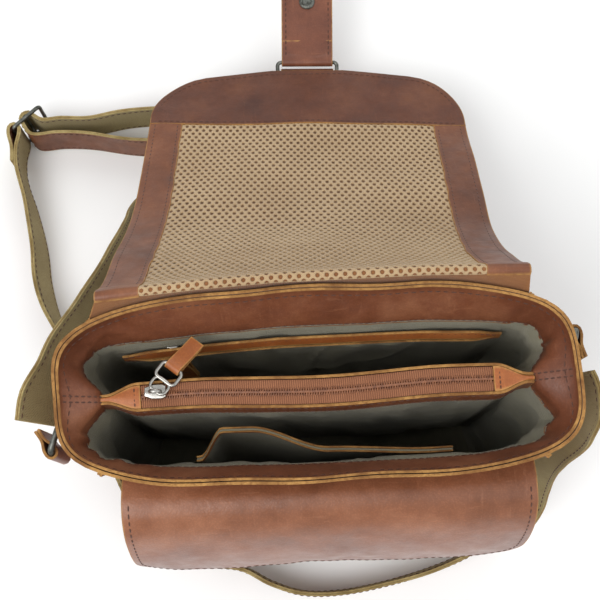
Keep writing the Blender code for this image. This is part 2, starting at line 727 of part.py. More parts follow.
def flap_half_at(s):
    """Rounded far corners that run up to a shallow point in the middle."""
    past = s - (FLAP_LENGTH - FLAP_CORNER - 6.0)
    if past <= 0.0:
        return FLAP_HALF
    side = FLAP_HALF - FLAP_CORNER + math.sqrt(max(FLAP_CORNER ** 2 - past ** 2, 0.0))
    if past < FLAP_CORNER * 0.96:
        return side
    tail = (past - FLAP_CORNER * 0.96) / (FLAP_CORNER * 0.04 + 6.0)
    start = FLAP_HALF - FLAP_CORNER + FLAP_CORNER * 0.28
    return start - (start - 27.0) * tail


def flap():
    axis = (0.0, *FLAP_AXIS)
    crease = (0.0, *flap_line(FLAP_TOP_LENGTH)[:2])
    top = [3.0, 14.0, 28.0, 45.0, 68.0, 92.0, FLAP_TOP_LENGTH - 1.2]
    front = [FLAP_TOP_LENGTH + 1.2, 135.0, 160.0, 188.0, 215.0, 232.0, 249.0, 262.0, 274.0,
             284.0, 291.0, 296.0, 299.0, FLAP_LENGTH]
    band_start = FLAP_LENGTH - FLAP_END_BAND
    inner_share = 1.0 - FLAP_BAND / FLAP_HALF
    parts = (("top", top, axis), ("front", front, crease))
    for name, lengths, origin in parts:
        leaf("flap_leather_" + name, "leather_brown", flap_line, lengths, flap_half_at, 0.0, LEATHER, origin,
             across=spread(13))
        sides = [s for s in lengths if s < band_start - 2.0]
        if name == "top":
            sides[0], sides[-1] = FLAP_ROOT_TRIM, FLAP_TOP_LENGTH - CREASE_TRIM
        else:
            sides[0] = FLAP_TOP_LENGTH + CREASE_TRIM
            sides.append(band_start - 0.6)
        for side, low, high in (("left", -1.0, -inner_share), ("right", inner_share, 1.0)):
            if name == "top":
                leaf("flap_border_top_" + side, "leather_brown", flap_line, sides, flap_half_at,
                     LEATHER + GAP, LEATHER + GAP + 1.3, origin, across=spread(4, low, high))
        mesh_share = inner_share - 0.4 / FLAP_HALF
        leaf("flap_mesh_" + name, "mesh_beige", flap_line, sides, flap_half_at,
             LEATHER + GAP, LEATHER + GAP + 2.0, origin, across=spread(11, -mesh_share, mesh_share))
    rows = [FLAP_TOP_LENGTH + CREASE_TRIM] + [s for s in front[1:] if s < band_start - 2.0]
    border = rows + [band_start] + [s for s in front if s > band_start + 2.0]
    across = [-1.0, -0.9] + spread(13, -inner_share, inner_share) + [0.9, 1.0]
    holes = [(r, c) for r in range(len(rows)) for c in range(2, 14)]
    leaf("flap_border_front", "leather_dark", flap_line, border, flap_half_at, LEATHER + GAP,
         LEATHER + GAP + 1.3, crease, across=across, holes=holes)
    # the part of the flap sewn flat to the back panel
    rows = ((HEIGHT - 42.0, 0.5), (HEIGHT - 30.0, 0.5), (HEIGHT - 16.0, 0.7), (HEIGHT - 6.0, 1.0),
            (HEIGHT - 2.0, 1.6))
    grids = [[[(u * FLAP_HALF, wall_y(u * FLAP_HALF, z) + off + out, z) for u in spread(15)]
              for z, off in rows] for out in (0.0, LEATHER)]
    slab("flap_root", "leather_brown", *grids)


def closure():
    """Strap on a wire loop at the end of the flap, with half a snap under it."""
    y, z, _ = flap_line(FLAP_LENGTH)
    crease = (0.0, *flap_line(FLAP_TOP_LENGTH)[:2])
    direction = math.radians(-22.0)
    out = np.array((0.0, math.cos(direction), math.sin(direction)))
    up = np.array((0.0, -math.sin(direction), math.cos(direction)))
    bar = np.array((0.0, y, z)) + out * 5.0 - up * 3.6
    path = through(fold_path(bar, -out, (1.0, 0.0, 0.0), 2.5, 0.9, 22.0), 3.0)
    ribbon("closure_tab", "leather_dark", path, -0.65, 0.65, 40.0, crease)
    lift = math.radians(-22.0 + CLOSURE_LIFT)
    along = np.array((0.0, math.cos(lift), math.sin(lift)))
    above = np.array((0.0, -math.sin(lift), math.cos(lift)))
    ring_solid("closure_ring", "nickel_antique", bar + along * 4.8, (1, 0, 0), along,
               23.0, 4.8, 3.0, 1.5, bar)
    second = bar + along * 9.6
    path = through(fold_path(second, along, (1.0, 0.0, 0.0), 2.5, 0.95, CLOSURE_LOOP), 3.0)
    loop = ribbon("closure_loop", "leather_brown", path, -0.65, 0.65, 2 * CLOSURE_HALF, bar)
    rows = [(0.0, 1.0), (12.0, 1.0), (30.0, 1.0), (36.0, 0.94), (40.0, 0.8), (43.0, 0.55), (44.5, 0.3)]
    grids = []
    for depth in (-1.4, 1.4):
        grid = []
        for s, part in rows:
            middle = second + along * (CLOSURE_LOOP - 0.5 + s) + above * depth
            grid.append([middle + np.array((u * part * CLOSURE_HALF, 0.0, 0.0)) for u in spread(7)])
        grids.append(grid)
    merge(slab("closure_strap", "leather_brown", *grids, bar), loop)
    snap = second + along * 46.0
    disc("closure_snap_cap", "nickel_antique", snap - above * 1.7, -above, 6.5, 1.2, bar)
    disc("closure_snap_socket", "nickel_antique", snap + above * 1.7, above, 6.0, 1.6, bar)
    post_z = 39.0
    disc("closure_snap_post", "nickel_antique", (0.0, pocket_face_y(0.0, post_z) - 1.0, post_z),
         (0.0, -1.0, 0.0), 4.5, 2.2, (0.0, 0.0, 0.0))


# ---- shoulder strap -----------------------------------------------------------------------


def ring_frame(side):
    axis, reach, away = RINGS[side]
    return np.array(axis), unit(reach), unit(away)


def side_ring(side):
    """Leather tab on the gusset, the wire ring it holds and the strap end on the ring."""
    axis, reach, away = ring_frame(side)
    sign = math.copysign(1.0, axis[0])
    run = -math.copysign(1.0, reach[1])
    middle = wall_x(0.0, RING_Z + 14.0) + 0.35 + 0.7
    near, outer, radius = middle, middle + 1.75, 2.75
    keys = [(sign * near, axis[1] + run * 24.0), (sign * near, axis[1] + run * 8.0)]
    for angle in (180.0, 215.0, 250.0, 285.0, 320.0, 360.0):
        turn = math.radians(angle)
        keys.append((axis[0] + sign * radius * math.cos(turn), axis[1] + run * radius * math.sin(turn)))
    keys += [(sign * (outer + 0.5), axis[1] + run * 8.0), (sign * outer, axis[1] + run * 14.0),
             (sign * outer, axis[1] + run * 24.0)]
    path = through([(x, y, RING_Z, 0.0, 0.0, 1.0) for x, y in keys], 3.0)
    ribbon("ring_tab_" + side, "leather_brown", path, -0.7, 0.7, 27.0)
    ring_solid("side_ring_" + side, "nickel_antique", axis + reach * RING_REACH / 2, (0, 0, 1), reach,
               18.8, RING_REACH / 2, 4.0, 1.75, axis)
    path = through(fold_path(axis + reach * RING_REACH, away, (0, 0, 1), 2.9, 0.95, 15.0), 3.0)
    ribbon("strap_end_" + side, "leather_brown", path, -0.75, 0.75, STRAP_WIDTH - 1.0, axis)


def two_layers(name, path):
    """Leather outside, canvas inside, along one path."""
    ribbon(name + "_leather", "leather_brown", path, 0.08, STRAP_LAYER, STRAP_WIDTH)
    ribbon(name + "_canvas", "canvas_khaki", path, -STRAP_LAYER, -0.08, STRAP_WIDTH)


def at_buckle(along, out):
    return np.array(BUCKLE) + unit(BUCKLE_ALONG) * along + unit(BUCKLE_OUT) * out


def buckle():
    """Three-bar slide, standing on its edge."""
    half = STRAP_WIDTH / 2 + 2.6
    ends = [-14.5, -11.5, -1.5, 1.5, 11.5, 14.5]
    levels = [-half, -half + 2.0, half - 2.0, half]
    grids = [[[at_buckle(along, out) + np.array((0.0, 0.0, level)) for along in ends]
              for level in levels] for out in (-1.5, 1.5)]
    slab("strap_buckle", "nickel_antique", *grids, holes={(1, 1), (1, 3)})


def short_strap():
    """From the left ring, back under the flap, through the buckle; the tail runs back."""
    axis, reach, away = ring_frame("left")
    start = axis + reach * RING_REACH + away * 22.0
    ground = STRAP_WIDTH / 2 + 0.4
    level = BUCKLE[2]
    up = (0.0, 0.0, 1.0)
    keys = [
        (*start, -0.45, -0.1, 0.88),
        (-155.0, 2.0, 203.0, -0.40, 0.05, 0.91),
        (-148.5, 18.0, 196.0, -0.38, 0.1, 0.91),
        (-143.0, 36.0, 184.0, -0.38, 0.1, 0.92),
        (-133.0, 61.0, 165.0, -0.38, 0.0, 0.92),
        (-121.0, 97.0, 136.0, -0.36, -0.1, 0.92),
        (-114.0, 130.0, 100.0, -0.32, -0.15, 0.93),
        (-112.0, 158.0, 60.0, -0.30, -0.2, 0.93),
        (-106.0, 182.0, 29.0, 0.0, -0.1, 1.0),
        (-90.0, 197.0, ground, *up),
        (-68.0, 201.0, ground, *up),
        (-53.0, 213.0, ground, *up),
        (-65.0, 226.0, ground, *up),
        (-92.0, 229.0, ground, *up),
        (-127.0, 230.5, ground, *up),
        (-163.0, 237.0, ground + 1.0, *up),
        (-188.0, 239.0, level - 1.5, *up),
        (*at_buckle(-6.0, 12.0)[:2], level, *up),
        (*at_buckle(-5.4, 2.0)[:2], level, *up),
        (*at_buckle(-4.2, -2.6)[:2], level, *up),
        (*at_buckle(0.0, -4.6)[:2], level, *up),
        (*at_buckle(4.2, -2.6)[:2], level, *up),
        (*at_buckle(5.4, 2.0)[:2], level, *up),
        (*at_buckle(7.5, 9.0)[:2], level, *up),
        (-185.0, 250.5, level - 1.0, *up),
        (-163.0, 250.0, ground + 1.0, *up),
        (-138.0, 254.5, ground, *up),
        (-112.0, 256.0, ground, *up),
        (-86.0, 255.0, ground, *up),
    ]
    two_layers("strap_short", through(keys, 11.0))


def long_strap():
    """From the right ring, down and across in front of the bag, back to the buckle."""
    axis, reach, away = ring_frame("right")
    start = axis + reach * RING_REACH + away * 22.0
    ground = STRAP_WIDTH / 2 + 0.4
    up = (0.0, 0.0, 1.0)
    bar = at_buckle(BUCKLE_BARS[0], 0.0)
    loop = fold_path(bar, (0.02, -1.0, 0.0), up, 3.9, 1.6, 26.0)
    keys = [
        (*start, 0.05, 0.02, 1.0),
        (152.0, -1.0, 201.0, 0.06, -0.06, 1.0),
        (153.5, -10.0, 195.0, 0.15, -0.30, 0.94),
        (152.0, -17.0, 180.0, 0.24, -0.45, 0.86),
        (149.5, -22.0, 160.0, 0.34, -0.48, 0.80),
        (145.5, -27.0, 136.0, 0.30, -0.35, 0.88),
        (143.5, -32.0, 110.0, 0.34, -0.25, 0.90),
        (143.5, -38.0, 86.0, 0.38, -0.15, 0.91),
        (144.5, -46.0, 64.0, 0.38, -0.05, 0.92),
        (145.0, -57.0, 44.0, 0.34, 0.05, 0.93),
        (141.0, -68.5, 29.0, 0.28, 0.1, 0.95),
        (132.0, -78.5, 21.0, 0.16, 0.1, 0.98),
        (116.0, -88.0, ground + 0.5, 0.06, 0.05, 0.99),
        (92.0, -98.0, ground, *up),
        (56.0, -108.0, ground, *up),
        (15.0, -114.5, ground, *up),
        (-13.0, -113.5, ground, *up),
        (-34.0, -106.0, ground, *up),
        (-54.0, -95.5, ground, *up),
        (-82.0, -91.0, ground, *up),
        (-106.0, -83.0, ground, *up),
        (-122.0, -67.0, ground, *up),
        (-133.0, -46.0, ground, *up),
        (-143.0, -24.0, ground, *up),
        (-154.0, 6.0, ground, *up),
        (-166.0, 42.0, ground, *up),
        (-181.0, 74.0, ground, -0.08, 0.0, 0.99),
        (-194.0, 100.0, ground, -0.15, 0.0, 0.98),
        (-200.5, 124.0, ground, -0.17, 0.0, 0.98),
        (-203.5, 150.0, ground, -0.15, 0.0, 0.98),
        (-211.0, 185.0, ground, -0.06, 0.0, 0.99),
        (-217.0, 206.0, BUCKLE[2] - 1.5, *up),
    ]
    keys += [tuple(k) for k in reversed(loop)]
    two_layers("strap_long", through(keys, 12.0))


def build():
    clear_scene()
    body_panels()
    facings()
    lining()
    divider_walls()
    divider_bands()
    divider_zip()
    divider_slider()
    back_pocket()
    back_slider()
    slip_pocket()
    pocket_body()
    pocket_flap()
    flap()
    closure()
    side_ring("left")
    side_ring("right")
    buckle()
    short_strap()
    long_strap()


build()
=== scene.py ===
"""Looks of the leather messenger bag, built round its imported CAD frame.

Lengths are millimetres until Solid.put() turns them into the frame's metres.  X runs across the
bag, Y from the front (-Y) to the back (+Y), Z is up.  Every surface starts from the same formulas
as the CAD solid it stands for, at a finer resolution.
"""

import math

import bmesh
import bpy
import numpy as np
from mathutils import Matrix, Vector


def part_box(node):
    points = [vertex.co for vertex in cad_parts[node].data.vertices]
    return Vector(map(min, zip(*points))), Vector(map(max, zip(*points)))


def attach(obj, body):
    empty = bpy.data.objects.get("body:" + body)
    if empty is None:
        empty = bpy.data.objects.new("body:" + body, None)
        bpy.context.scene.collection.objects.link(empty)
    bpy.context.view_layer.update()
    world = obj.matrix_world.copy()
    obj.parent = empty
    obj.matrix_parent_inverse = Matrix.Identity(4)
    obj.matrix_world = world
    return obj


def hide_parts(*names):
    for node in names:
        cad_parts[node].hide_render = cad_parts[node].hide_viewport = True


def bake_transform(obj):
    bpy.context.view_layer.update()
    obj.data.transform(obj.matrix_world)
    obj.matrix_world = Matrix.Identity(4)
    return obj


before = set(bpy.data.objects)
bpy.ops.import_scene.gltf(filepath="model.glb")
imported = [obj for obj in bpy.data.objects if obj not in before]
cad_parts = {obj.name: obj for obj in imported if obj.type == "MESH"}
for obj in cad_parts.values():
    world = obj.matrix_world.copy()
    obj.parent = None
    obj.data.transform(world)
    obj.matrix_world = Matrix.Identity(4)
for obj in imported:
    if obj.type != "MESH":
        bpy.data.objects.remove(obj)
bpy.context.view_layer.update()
MM = 0.001

# ---- sizes of the CAD source ----------------------------------------------------------------
HEIGHT = 245.0
LEATHER = 1.5
GAP = 0.3
WALL_STATIONS = np.array((
    (2.0, 122.0, 34.0, 6.0), (7.0, 127.5, 38.5, 6.0), (30.0, 129.0, 40.0, 6.0),
    (110.0, 131.5, 41.5, 5.5), (190.0, 133.0, 42.5, 5.0), (217.0, 134.0, 44.5, 4.6),
    (232.0, 136.0, 48.5, 4.2), (HEIGHT, 138.0, 52.5, 4.0)))
FACING_DEPTH = 28.0
FRONT_SLACK = 1.5
BACK_SLACK = 6.0
PINCH_WIDTH = 16.0
LINING_DEPTH = 0.5
LINING = 0.8

DIVIDER_TOP = HEIGHT - 16.0
DIVIDER_BOTTOM = 22.0
DIVIDER_HALF = 113.0
DIVIDER_HALF_DEPTH = 6.9
DIVIDER_TAPER = 96.0
DIVIDER_BOW = 3.0                 # how far its middle leans to the front
ZIP_HALF = 94.0

POCKET_X = 4.0
POCKET_HALF = 103.0
POCKET_TOP = HEIGHT - 38.0
POCKET_BOTTOM = 14.0
POCKET_CORNER = 24.0
POCKET_FLAP_HALF = 109.5
POCKET_FLAP_LENGTH = 80.0
POCKET_FLAP_CORNER = 25.0
POCKET_BEND = (-62.5, HEIGHT - 22.0)

FLAP_AXIS = (57.5, HEIGHT + 1.0)
FLAP_HALF = 115.5
FLAP_TOP_LENGTH = 119.0
FLAP_LENGTH = 303.0
FLAP_CORNER = 48.0
FLAP_BAND = 23.0
FLAP_END_BAND = 62.0
FLAP_LAP = 20.0                   # where the leather of the fold meets the leather of the flap
FLAP_LEAD = 3.25                  # the fold itself, before the hinge line
FLAP_ROOT = 8.0                   # the fold's own pieces end this far past the hinge line
FLAP_YAW = -2.2                   # degrees the thrown-back flap has slewed round

CLOSURE_HALF = 19.5
CLOSURE_LIFT = 35.0
STRAP_WIDTH = 32.0
STRAP_LAYER = 1.3
RING_Z = HEIGHT - 42.0
RING_REACH = 15.0
BACK_ZIP_Z = HEIGHT - 45.0
BACK_ZIP_HALF = 100.0

EDGE_STEP = 0.8                   # width of the worn line along a cut edge
STITCH_PITCH = 4.3
WELD = 0.000003                   # metres: points closer than this are one point
STRAP_SEED = 61
UP = np.array((0.0, 0.0, 1.0))


# ---- vectors, waves and paths ---------------------------------------------------------------
def unit(v):
    v = np.asarray(v, float)
    return v / np.maximum(np.linalg.norm(v, axis=-1, keepdims=True), 1e-9)


def square_to(axis, v):
    """The part of v square to axis, one long."""
    return unit(np.asarray(v, float) - np.asarray(axis) * np.dot(v, axis))


def smooth(t):
    t = np.clip(t, 0.0, 1.0)
    return t * t * (3.0 - 2.0 * t)


def hump(t, centre, width):
    return np.exp(-((t - centre) / width) ** 2)


def ripple(points, length, seed):
    """Smooth waves about `length` long at each point, mostly between -1 and 1."""
    draw = np.random.default_rng(seed)
    total = 0.0
    for _ in range(7):
        way = unit(draw.normal(size=3)) * 2.0 * math.pi / (length * draw.uniform(0.7, 1.7))
        total = total + np.sin(points @ way + draw.uniform(0.0, 2.0 * math.pi))
    return total / 3.0


def edged(length, step):
    """Shares of a length, about a step apart, with a narrow cell at each end."""
    count = max(2, round((length - 2 * EDGE_STEP) / step) + 1)
    inner = np.linspace(EDGE_STEP, length - EDGE_STEP, count)
    return np.concatenate(((0.0,), inner, (length,))) / length


def through(keys, step):
    """Points about one step apart along a smooth curve through every key."""
    keys = [np.array(k, dtype=float) for k in keys]
    keys = [2 * keys[0] - keys[1]] + keys + [2 * keys[-1] - keys[-2]]
    spans = [math.sqrt(np.linalg.norm((b - a)[:3])) for a, b in zip(keys, keys[1:])]
    out = []
    for i in range(1, len(keys) - 2):
        p0, p1, p2, p3 = keys[i - 1:i + 3]
        d0, d1, d2 = spans[i - 1:i + 2]
        leave = d1 * ((p1 - p0) / d0 - (p2 - p0) / (d0 + d1)) + p2 - p1
        arrive = d1 * ((p3 - p2) / d2 - (p3 - p1) / (d1 + d2)) + p2 - p1
        pieces = max(1, round(d1 ** 2 / step))
        for j in range(pieces):
            t = j / pieces
            out.append((2 * t ** 3 - 3 * t ** 2 + 1) * p1 + (t ** 3 - 2 * t ** 2 + t) * leave
                       + (3 * t ** 2 - 2 * t ** 3) * p2 + (t ** 3 - t ** 2) * arrive)
    out.append(keys[-2])
    return np.array(out)


def lengths_along(path):
    return np.concatenate(((0.0,), np.cumsum(np.linalg.norm(np.diff(path, axis=0), axis=1))))


def sample(path, at):
    """Values of a polyline's rows at distances along it."""
    run = lengths_along(path[:, :3])
    return np.stack([np.interp(at, run, path[:, i]) for i in range(path.shape[1])], axis=1)


def tangents(path):
    return unit(np.gradient(path[:, :3], axis=0))


# ---- building solids ------------------------------------------------------------------------
class Solid:
    """The faces of one piece: points in mm, a skin number, a map in mm and a mark on cut edges."""

    def __init__(self):
        self.points, self.faces, self.skins, self.maps, self.rims = [], [], [], [], []
        self.count = 0

    def add(self, points, faces, skin=0, maps=None, rim=None):
        points = np.asarray(points, float).reshape(-1, 3)
        faces = np.asarray(faces)
        if maps is None:
            maps = points[faces][..., :2]
        self.points.append(points)
        self.faces += (faces + self.count).tolist()
        self.skins += [skin] * len(faces)
        self.maps.append(np.asarray(maps, float).reshape(-1, 2))
        self.rims.append(np.zeros(len(points)) if rim is None else rim)
        self.count += len(points)
        return self

    def put(self, name, skins, stands_for=(), sharp=42.0):
        """Makes the object; skins names the materials its skin numbers stand for."""
        mesh = bpy.data.meshes.new(name)
        mesh.from_pydata((np.concatenate(self.points) * MM).tolist(), [], self.faces)
        for skin in skins:
            mesh.materials.append(MATERIALS[skin])
        mesh.polygons.foreach_set("material_index", self.skins)
        layer = mesh.uv_layers.new(name="map")
        layer.data.foreach_set("uv", np.concatenate(self.maps).ravel().astype(np.float32))
        mark = mesh.attributes.new("rim", "FLOAT", "POINT")
        mark.data.foreach_set("value", np.concatenate(self.rims).astype(np.float32))
        work = bmesh.new()
        work.from_mesh(mesh)
        bmesh.ops.remove_doubles(work, verts=work.verts, dist=WELD)
        bmesh.ops.recalc_face_normals(work, faces=work.faces)
        work.to_mesh(mesh)
        work.free()
        mesh.shade_smooth()
        mesh.set_sharp_from_angle(angle=math.radians(sharp))
        obj = bpy.data.objects.new(name, mesh)
        bpy.context.scene.collection.objects.link(obj)
        if stands_for:
            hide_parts(*stands_for)
        return obj


def grid_faces(rows, cols, closed):
    r, c = np.meshgrid(np.arange(rows - 1), np.arange(cols if closed else cols - 1), indexing="ij")
    d = (c + 1) % cols
    return np.stack((r * cols + c, r * cols + d, (r + 1) * cols + d, (r + 1) * cols + c),
                    axis=-1).reshape(-1, 4)


def grid_maps(grid, closed):
    """Corner maps of a grid's faces: distances along its rows and its columns."""
    rows = len(grid)
    wide = np.concatenate((grid, grid[:, :1]), axis=1) if closed else grid
    along = np.linalg.norm(np.diff(wide, axis=1), axis=2).cumsum(axis=1)
    along = np.concatenate((np.zeros((rows, 1)), along), axis=1)
    down = np.linalg.norm(np.diff(wide, axis=0), axis=2).cumsum(axis=0)
    down = np.concatenate((np.zeros((1, wide.shape[1])), down), axis=0)
    flat = np.stack((along, down), axis=-1)
    return np.stack((flat[:-1, :-1], flat[:-1, 1:], flat[1:, 1:], flat[1:, :-1]),
                    axis=2).reshape(-1, 4, 2)


def border(rows, cols, closed):
    """Loops of border points of a grid, each with the point one step inside it."""
    row = lambda r: np.arange(r * cols, (r + 1) * cols)
    if closed:
        return [(row(0), row(1)), (row(rows - 1), row(rows - 2))]
    r = np.concatenate((np.zeros(cols - 1), np.arange(rows - 1), np.full(cols - 1, rows - 1),
                        np.arange(rows - 1, 0, -1))).astype(int)
    c = np.concatenate((np.arange(cols - 1), np.full(rows - 1, cols - 1),
                        np.arange(cols - 1, 0, -1), np.zeros(rows - 1))).astype(int)
    inside = np.clip(r, 1, rows - 2) * cols + np.clip(c, 1, cols - 2)
    return [(r * cols + c, inside)]


def sheet(front, back, closed=False, skins=(0, 1, 0), floor=False, swell=0.22, into=None):
    """A sheet between two grids of points, with rounded cut edges.

    skins number its front, its edges and its back.  closed joins the last column to the first;
    floor closes the last row of each grid with one face, as in a cup.
    """
    solid = into or Solid()
    rows, cols = front.shape[:2]
    faces = grid_faces(rows, cols, closed)
    loops = border(rows, cols, closed)
    if floor:
        loops = loops[:1]
    rim = np.zeros(rows * cols)
    for loop, _ in loops:
        rim[loop] = 1.0
    for grid, skin in ((front, skins[0]), (back, skins[2])):
        solid.add(grid, faces, skin, grid_maps(grid, closed), rim)
        if floor:
            solid.add(grid[-1], [np.arange(cols)], skin)
    near, far = front.reshape(-1, 3), back.reshape(-1, 3)
    for loop, inside in loops:
        middle = (near[loop] + far[loop]) / 2
        out = unit(middle - (near[inside] + far[inside]) / 2)
        count = len(loop)
        ring = np.concatenate((near[loop], middle + out * swell, far[loop]))
        i = np.arange(count)
        j = (i + 1) % count
        quads = np.concatenate([np.stack((k + i, k + j, k + count + j, k + count + i), axis=1)
                                for k in (0, count)])
        run = lengths_along(np.concatenate((near[loop], near[loop][:1])))
        across = np.repeat((0.0, 0.75), count)
        along = np.tile(run[:-1], 2)
        ahead = np.tile(run[1:], 2)
        maps = np.stack((np.stack((along, across), 1), np.stack((ahead, across), 1),
                         np.stack((ahead, across + 0.75), 1),
                         np.stack((along, across + 0.75), 1)), axis=1)
        solid.add(ring, quads, skins[1], maps, np.ones(3 * count))
    return solid


def tube(path, radius, closed=False, sides=12, squash=1.0, into=None, side_way=None):
    """Round wire along a path; squash flattens it along side_way."""
    solid = into or Solid()
    path = np.asarray(path, float)
    if closed:
        ahead = unit(np.roll(path, -1, axis=0) - np.roll(path, 1, axis=0))
    else:
        ahead = tangents(path)
    hint = np.asarray(side_way if side_way is not None else UP, float)
    out = unit(np.cross(np.broadcast_to(hint, ahead.shape), ahead))
    other = np.cross(ahead, out)
    turn = np.arange(sides) * 2.0 * math.pi / sides
    radius = np.broadcast_to(np.asarray(radius, float), (len(path),))[:, None, None]
    rings = path[:, None] + radius * (np.cos(turn)[None, :, None] * out[:, None]
                                      + squash * np.sin(turn)[None, :, None] * other[:, None])
    count = len(path)
    solid.add(rings, grid_faces(count, sides, True), 0, grid_maps(rings, True))
    if closed:
        i = np.arange(sides)
        last = (count - 1) * sides
        solid.faces += [[solid.count - count * sides + v for v in
                         (last + a, last + (a + 1) % sides, (a + 1) % sides, a)] for a in i]
        solid.skins += [0] * sides
        solid.maps.append(np.zeros((sides * 4, 2)))
    else:
        for ring in (rings[0], rings[-1]):
            solid.add(ring, [np.arange(sides)])
    return solid


STITCH_SECTION = np.array([(math.cos(a), math.sin(a)) for a in np.radians(range(0, 360, 60))])


def stitches(solid, path, outward, pitch=STITCH_PITCH, length=2.9, radius=0.42, skin=0, start=0.5):
    """A row of thread stitches on a surface, half sunk into it."""
    path = np.asarray(path, float)
    run = lengths_along(path)
    at = np.arange(start * pitch, run[-1] - 0.3 * pitch, pitch)
    if not len(at):
        return solid
    middle = sample(path, at)
    ahead = unit(sample(path, at + 0.3) - sample(path, at - 0.3))
    outward = np.broadcast_to(np.asarray(outward, float), path.shape)
    up = np.stack([np.interp(at, run, outward[:, i]) for i in range(3)], axis=1)
    up = unit(up - ahead * np.sum(up * ahead, axis=1, keepdims=True))
    side = np.cross(ahead, up)
    rings = []
    for share, wide in ((-0.5, 0.25), (-0.36, 0.8), (0.0, 1.0), (0.36, 0.8), (0.5, 0.25)):
        spine = middle + ahead * share * length + up * radius * 0.35 * (1 - (2 * share) ** 2)
        rings.append(spine[:, None] + radius * wide * (
            STITCH_SECTION[None, :, :1] * side[:, None]
            + 0.75 * STITCH_SECTION[None, :, 1:] * up[:, None]))
    return add_beads(solid, rings, skin)


def add_beads(solid, rings, skin):
    """Many small closed tubes at once: rings lists, ring by ring, the points of every tube."""
    cells = np.stack(rings, axis=1)
    count, length, sides = cells.shape[:3]
    shift = (np.arange(count) * length * sides)[:, None, None]
    solid.add(cells, (grid_faces(length, sides, True)[None] + shift).reshape(-1, 4), skin)
    caps = np.array((np.arange(sides), np.arange((length - 1) * sides, length * sides)))
    base = solid.count - count * length * sides
    solid.faces += (base + caps[None] + shift).reshape(-1, sides).tolist()
    solid.skins += [skin] * (2 * count)
    solid.maps.append(np.zeros((2 * sides * count, 2)))
    return solid


# ---- materials ------------------------------------------------------------------------------
def tone(red, green, blue):
    """A display colour (0-255) as the linear colour a shader takes."""
    linear = [(c / 255 + 0.055) / 1.055 for c in (red, green, blue)]
    return tuple([c ** 2.4 for c in linear] + [1.0])


class Shader:
    """A material's node tree, built a node at a time."""

    def __init__(self, name):
        self.material = bpy.data.materials.new(name)
        self.material.use_nodes = True
        self.tree = self.material.node_tree
        self.surface = self.tree.nodes["Principled BSDF"]
        coordinates = self.tree.nodes.new("ShaderNodeTexCoord")
        self.place = coordinates.outputs["Object"]
        self.map = coordinates.outputs["UV"]

    def node(self, kind, inputs, output=0, **settings):
        made = self.tree.nodes.new("ShaderNode" + kind)
        for key, value in settings.items():
            setattr(made, key, value)
        for key, value in inputs.items():
            self.feed(made.inputs[key], value)
        return made.outputs[output]

    def feed(self, socket, value):
        if isinstance(value, bpy.types.NodeSocket):
            self.tree.links.new(value, socket)
        else:
            socket.default_value = value

    def stretched(self, vector, scale, turn=0.0):
        return self.node("Mapping", {"Vector": vector, "Scale": scale, "Rotation": (0.0, 0.0, turn)})

    def noise(self, scale, detail=3.0, vector=None, roughness=0.55):
        return self.node("TexNoise", {"Vector": vector or self.place, "Scale": scale,
                                      "Detail": detail, "Roughness": roughness})

    def cells(self, scale):
        return self.node("TexVoronoi", {"Vector": self.place, "Scale": scale})

    def bands(self, period, vector, axis="X"):
        return self.node("TexWave", {"Vector": vector, "Scale": 0.314 / period}, 1,
                         bands_direction=axis, wave_profile="SIN")

    def ramp(self, factor, stops):
        made = self.tree.nodes.new("ShaderNodeValToRGB")
        self.feed(made.inputs[0], factor)
        points = made.color_ramp.elements
        while len(points) < len(stops):
            points.new(0.5)
        for point, (place, colour) in zip(points, stops):
            point.position = place
            point.color = colour if isinstance(colour, tuple) else (colour, colour, colour, 1.0)
        return made.outputs[0]

    def math(self, operation, a, b=0.0):
        return self.node("Math", {0: a, 1: b}, operation=operation)

    def mix(self, share, first, second, blend="MIX"):
        return self.node("MixRGB", {0: share, 1: first, 2: second}, blend_type=blend)

    def bump(self, height, depth, strength=1.0, under=None):
        """Relief of the given depth in mm, laid over the relief under it."""
        inputs = {"Height": height, "Strength": strength, "Distance": depth * MM}
        if under is not None:
            inputs["Normal"] = under
        return self.node("Bump", inputs)

    def rim(self):
        return self.node("Attribute", {}, 2, attribute_name="rim")

    def finish(self, **values):
        for key, value in values.items():
            self.feed(self.surface.inputs[key.replace("_", " ")], value)
        return self.material


RAW = tone(186, 142, 78)


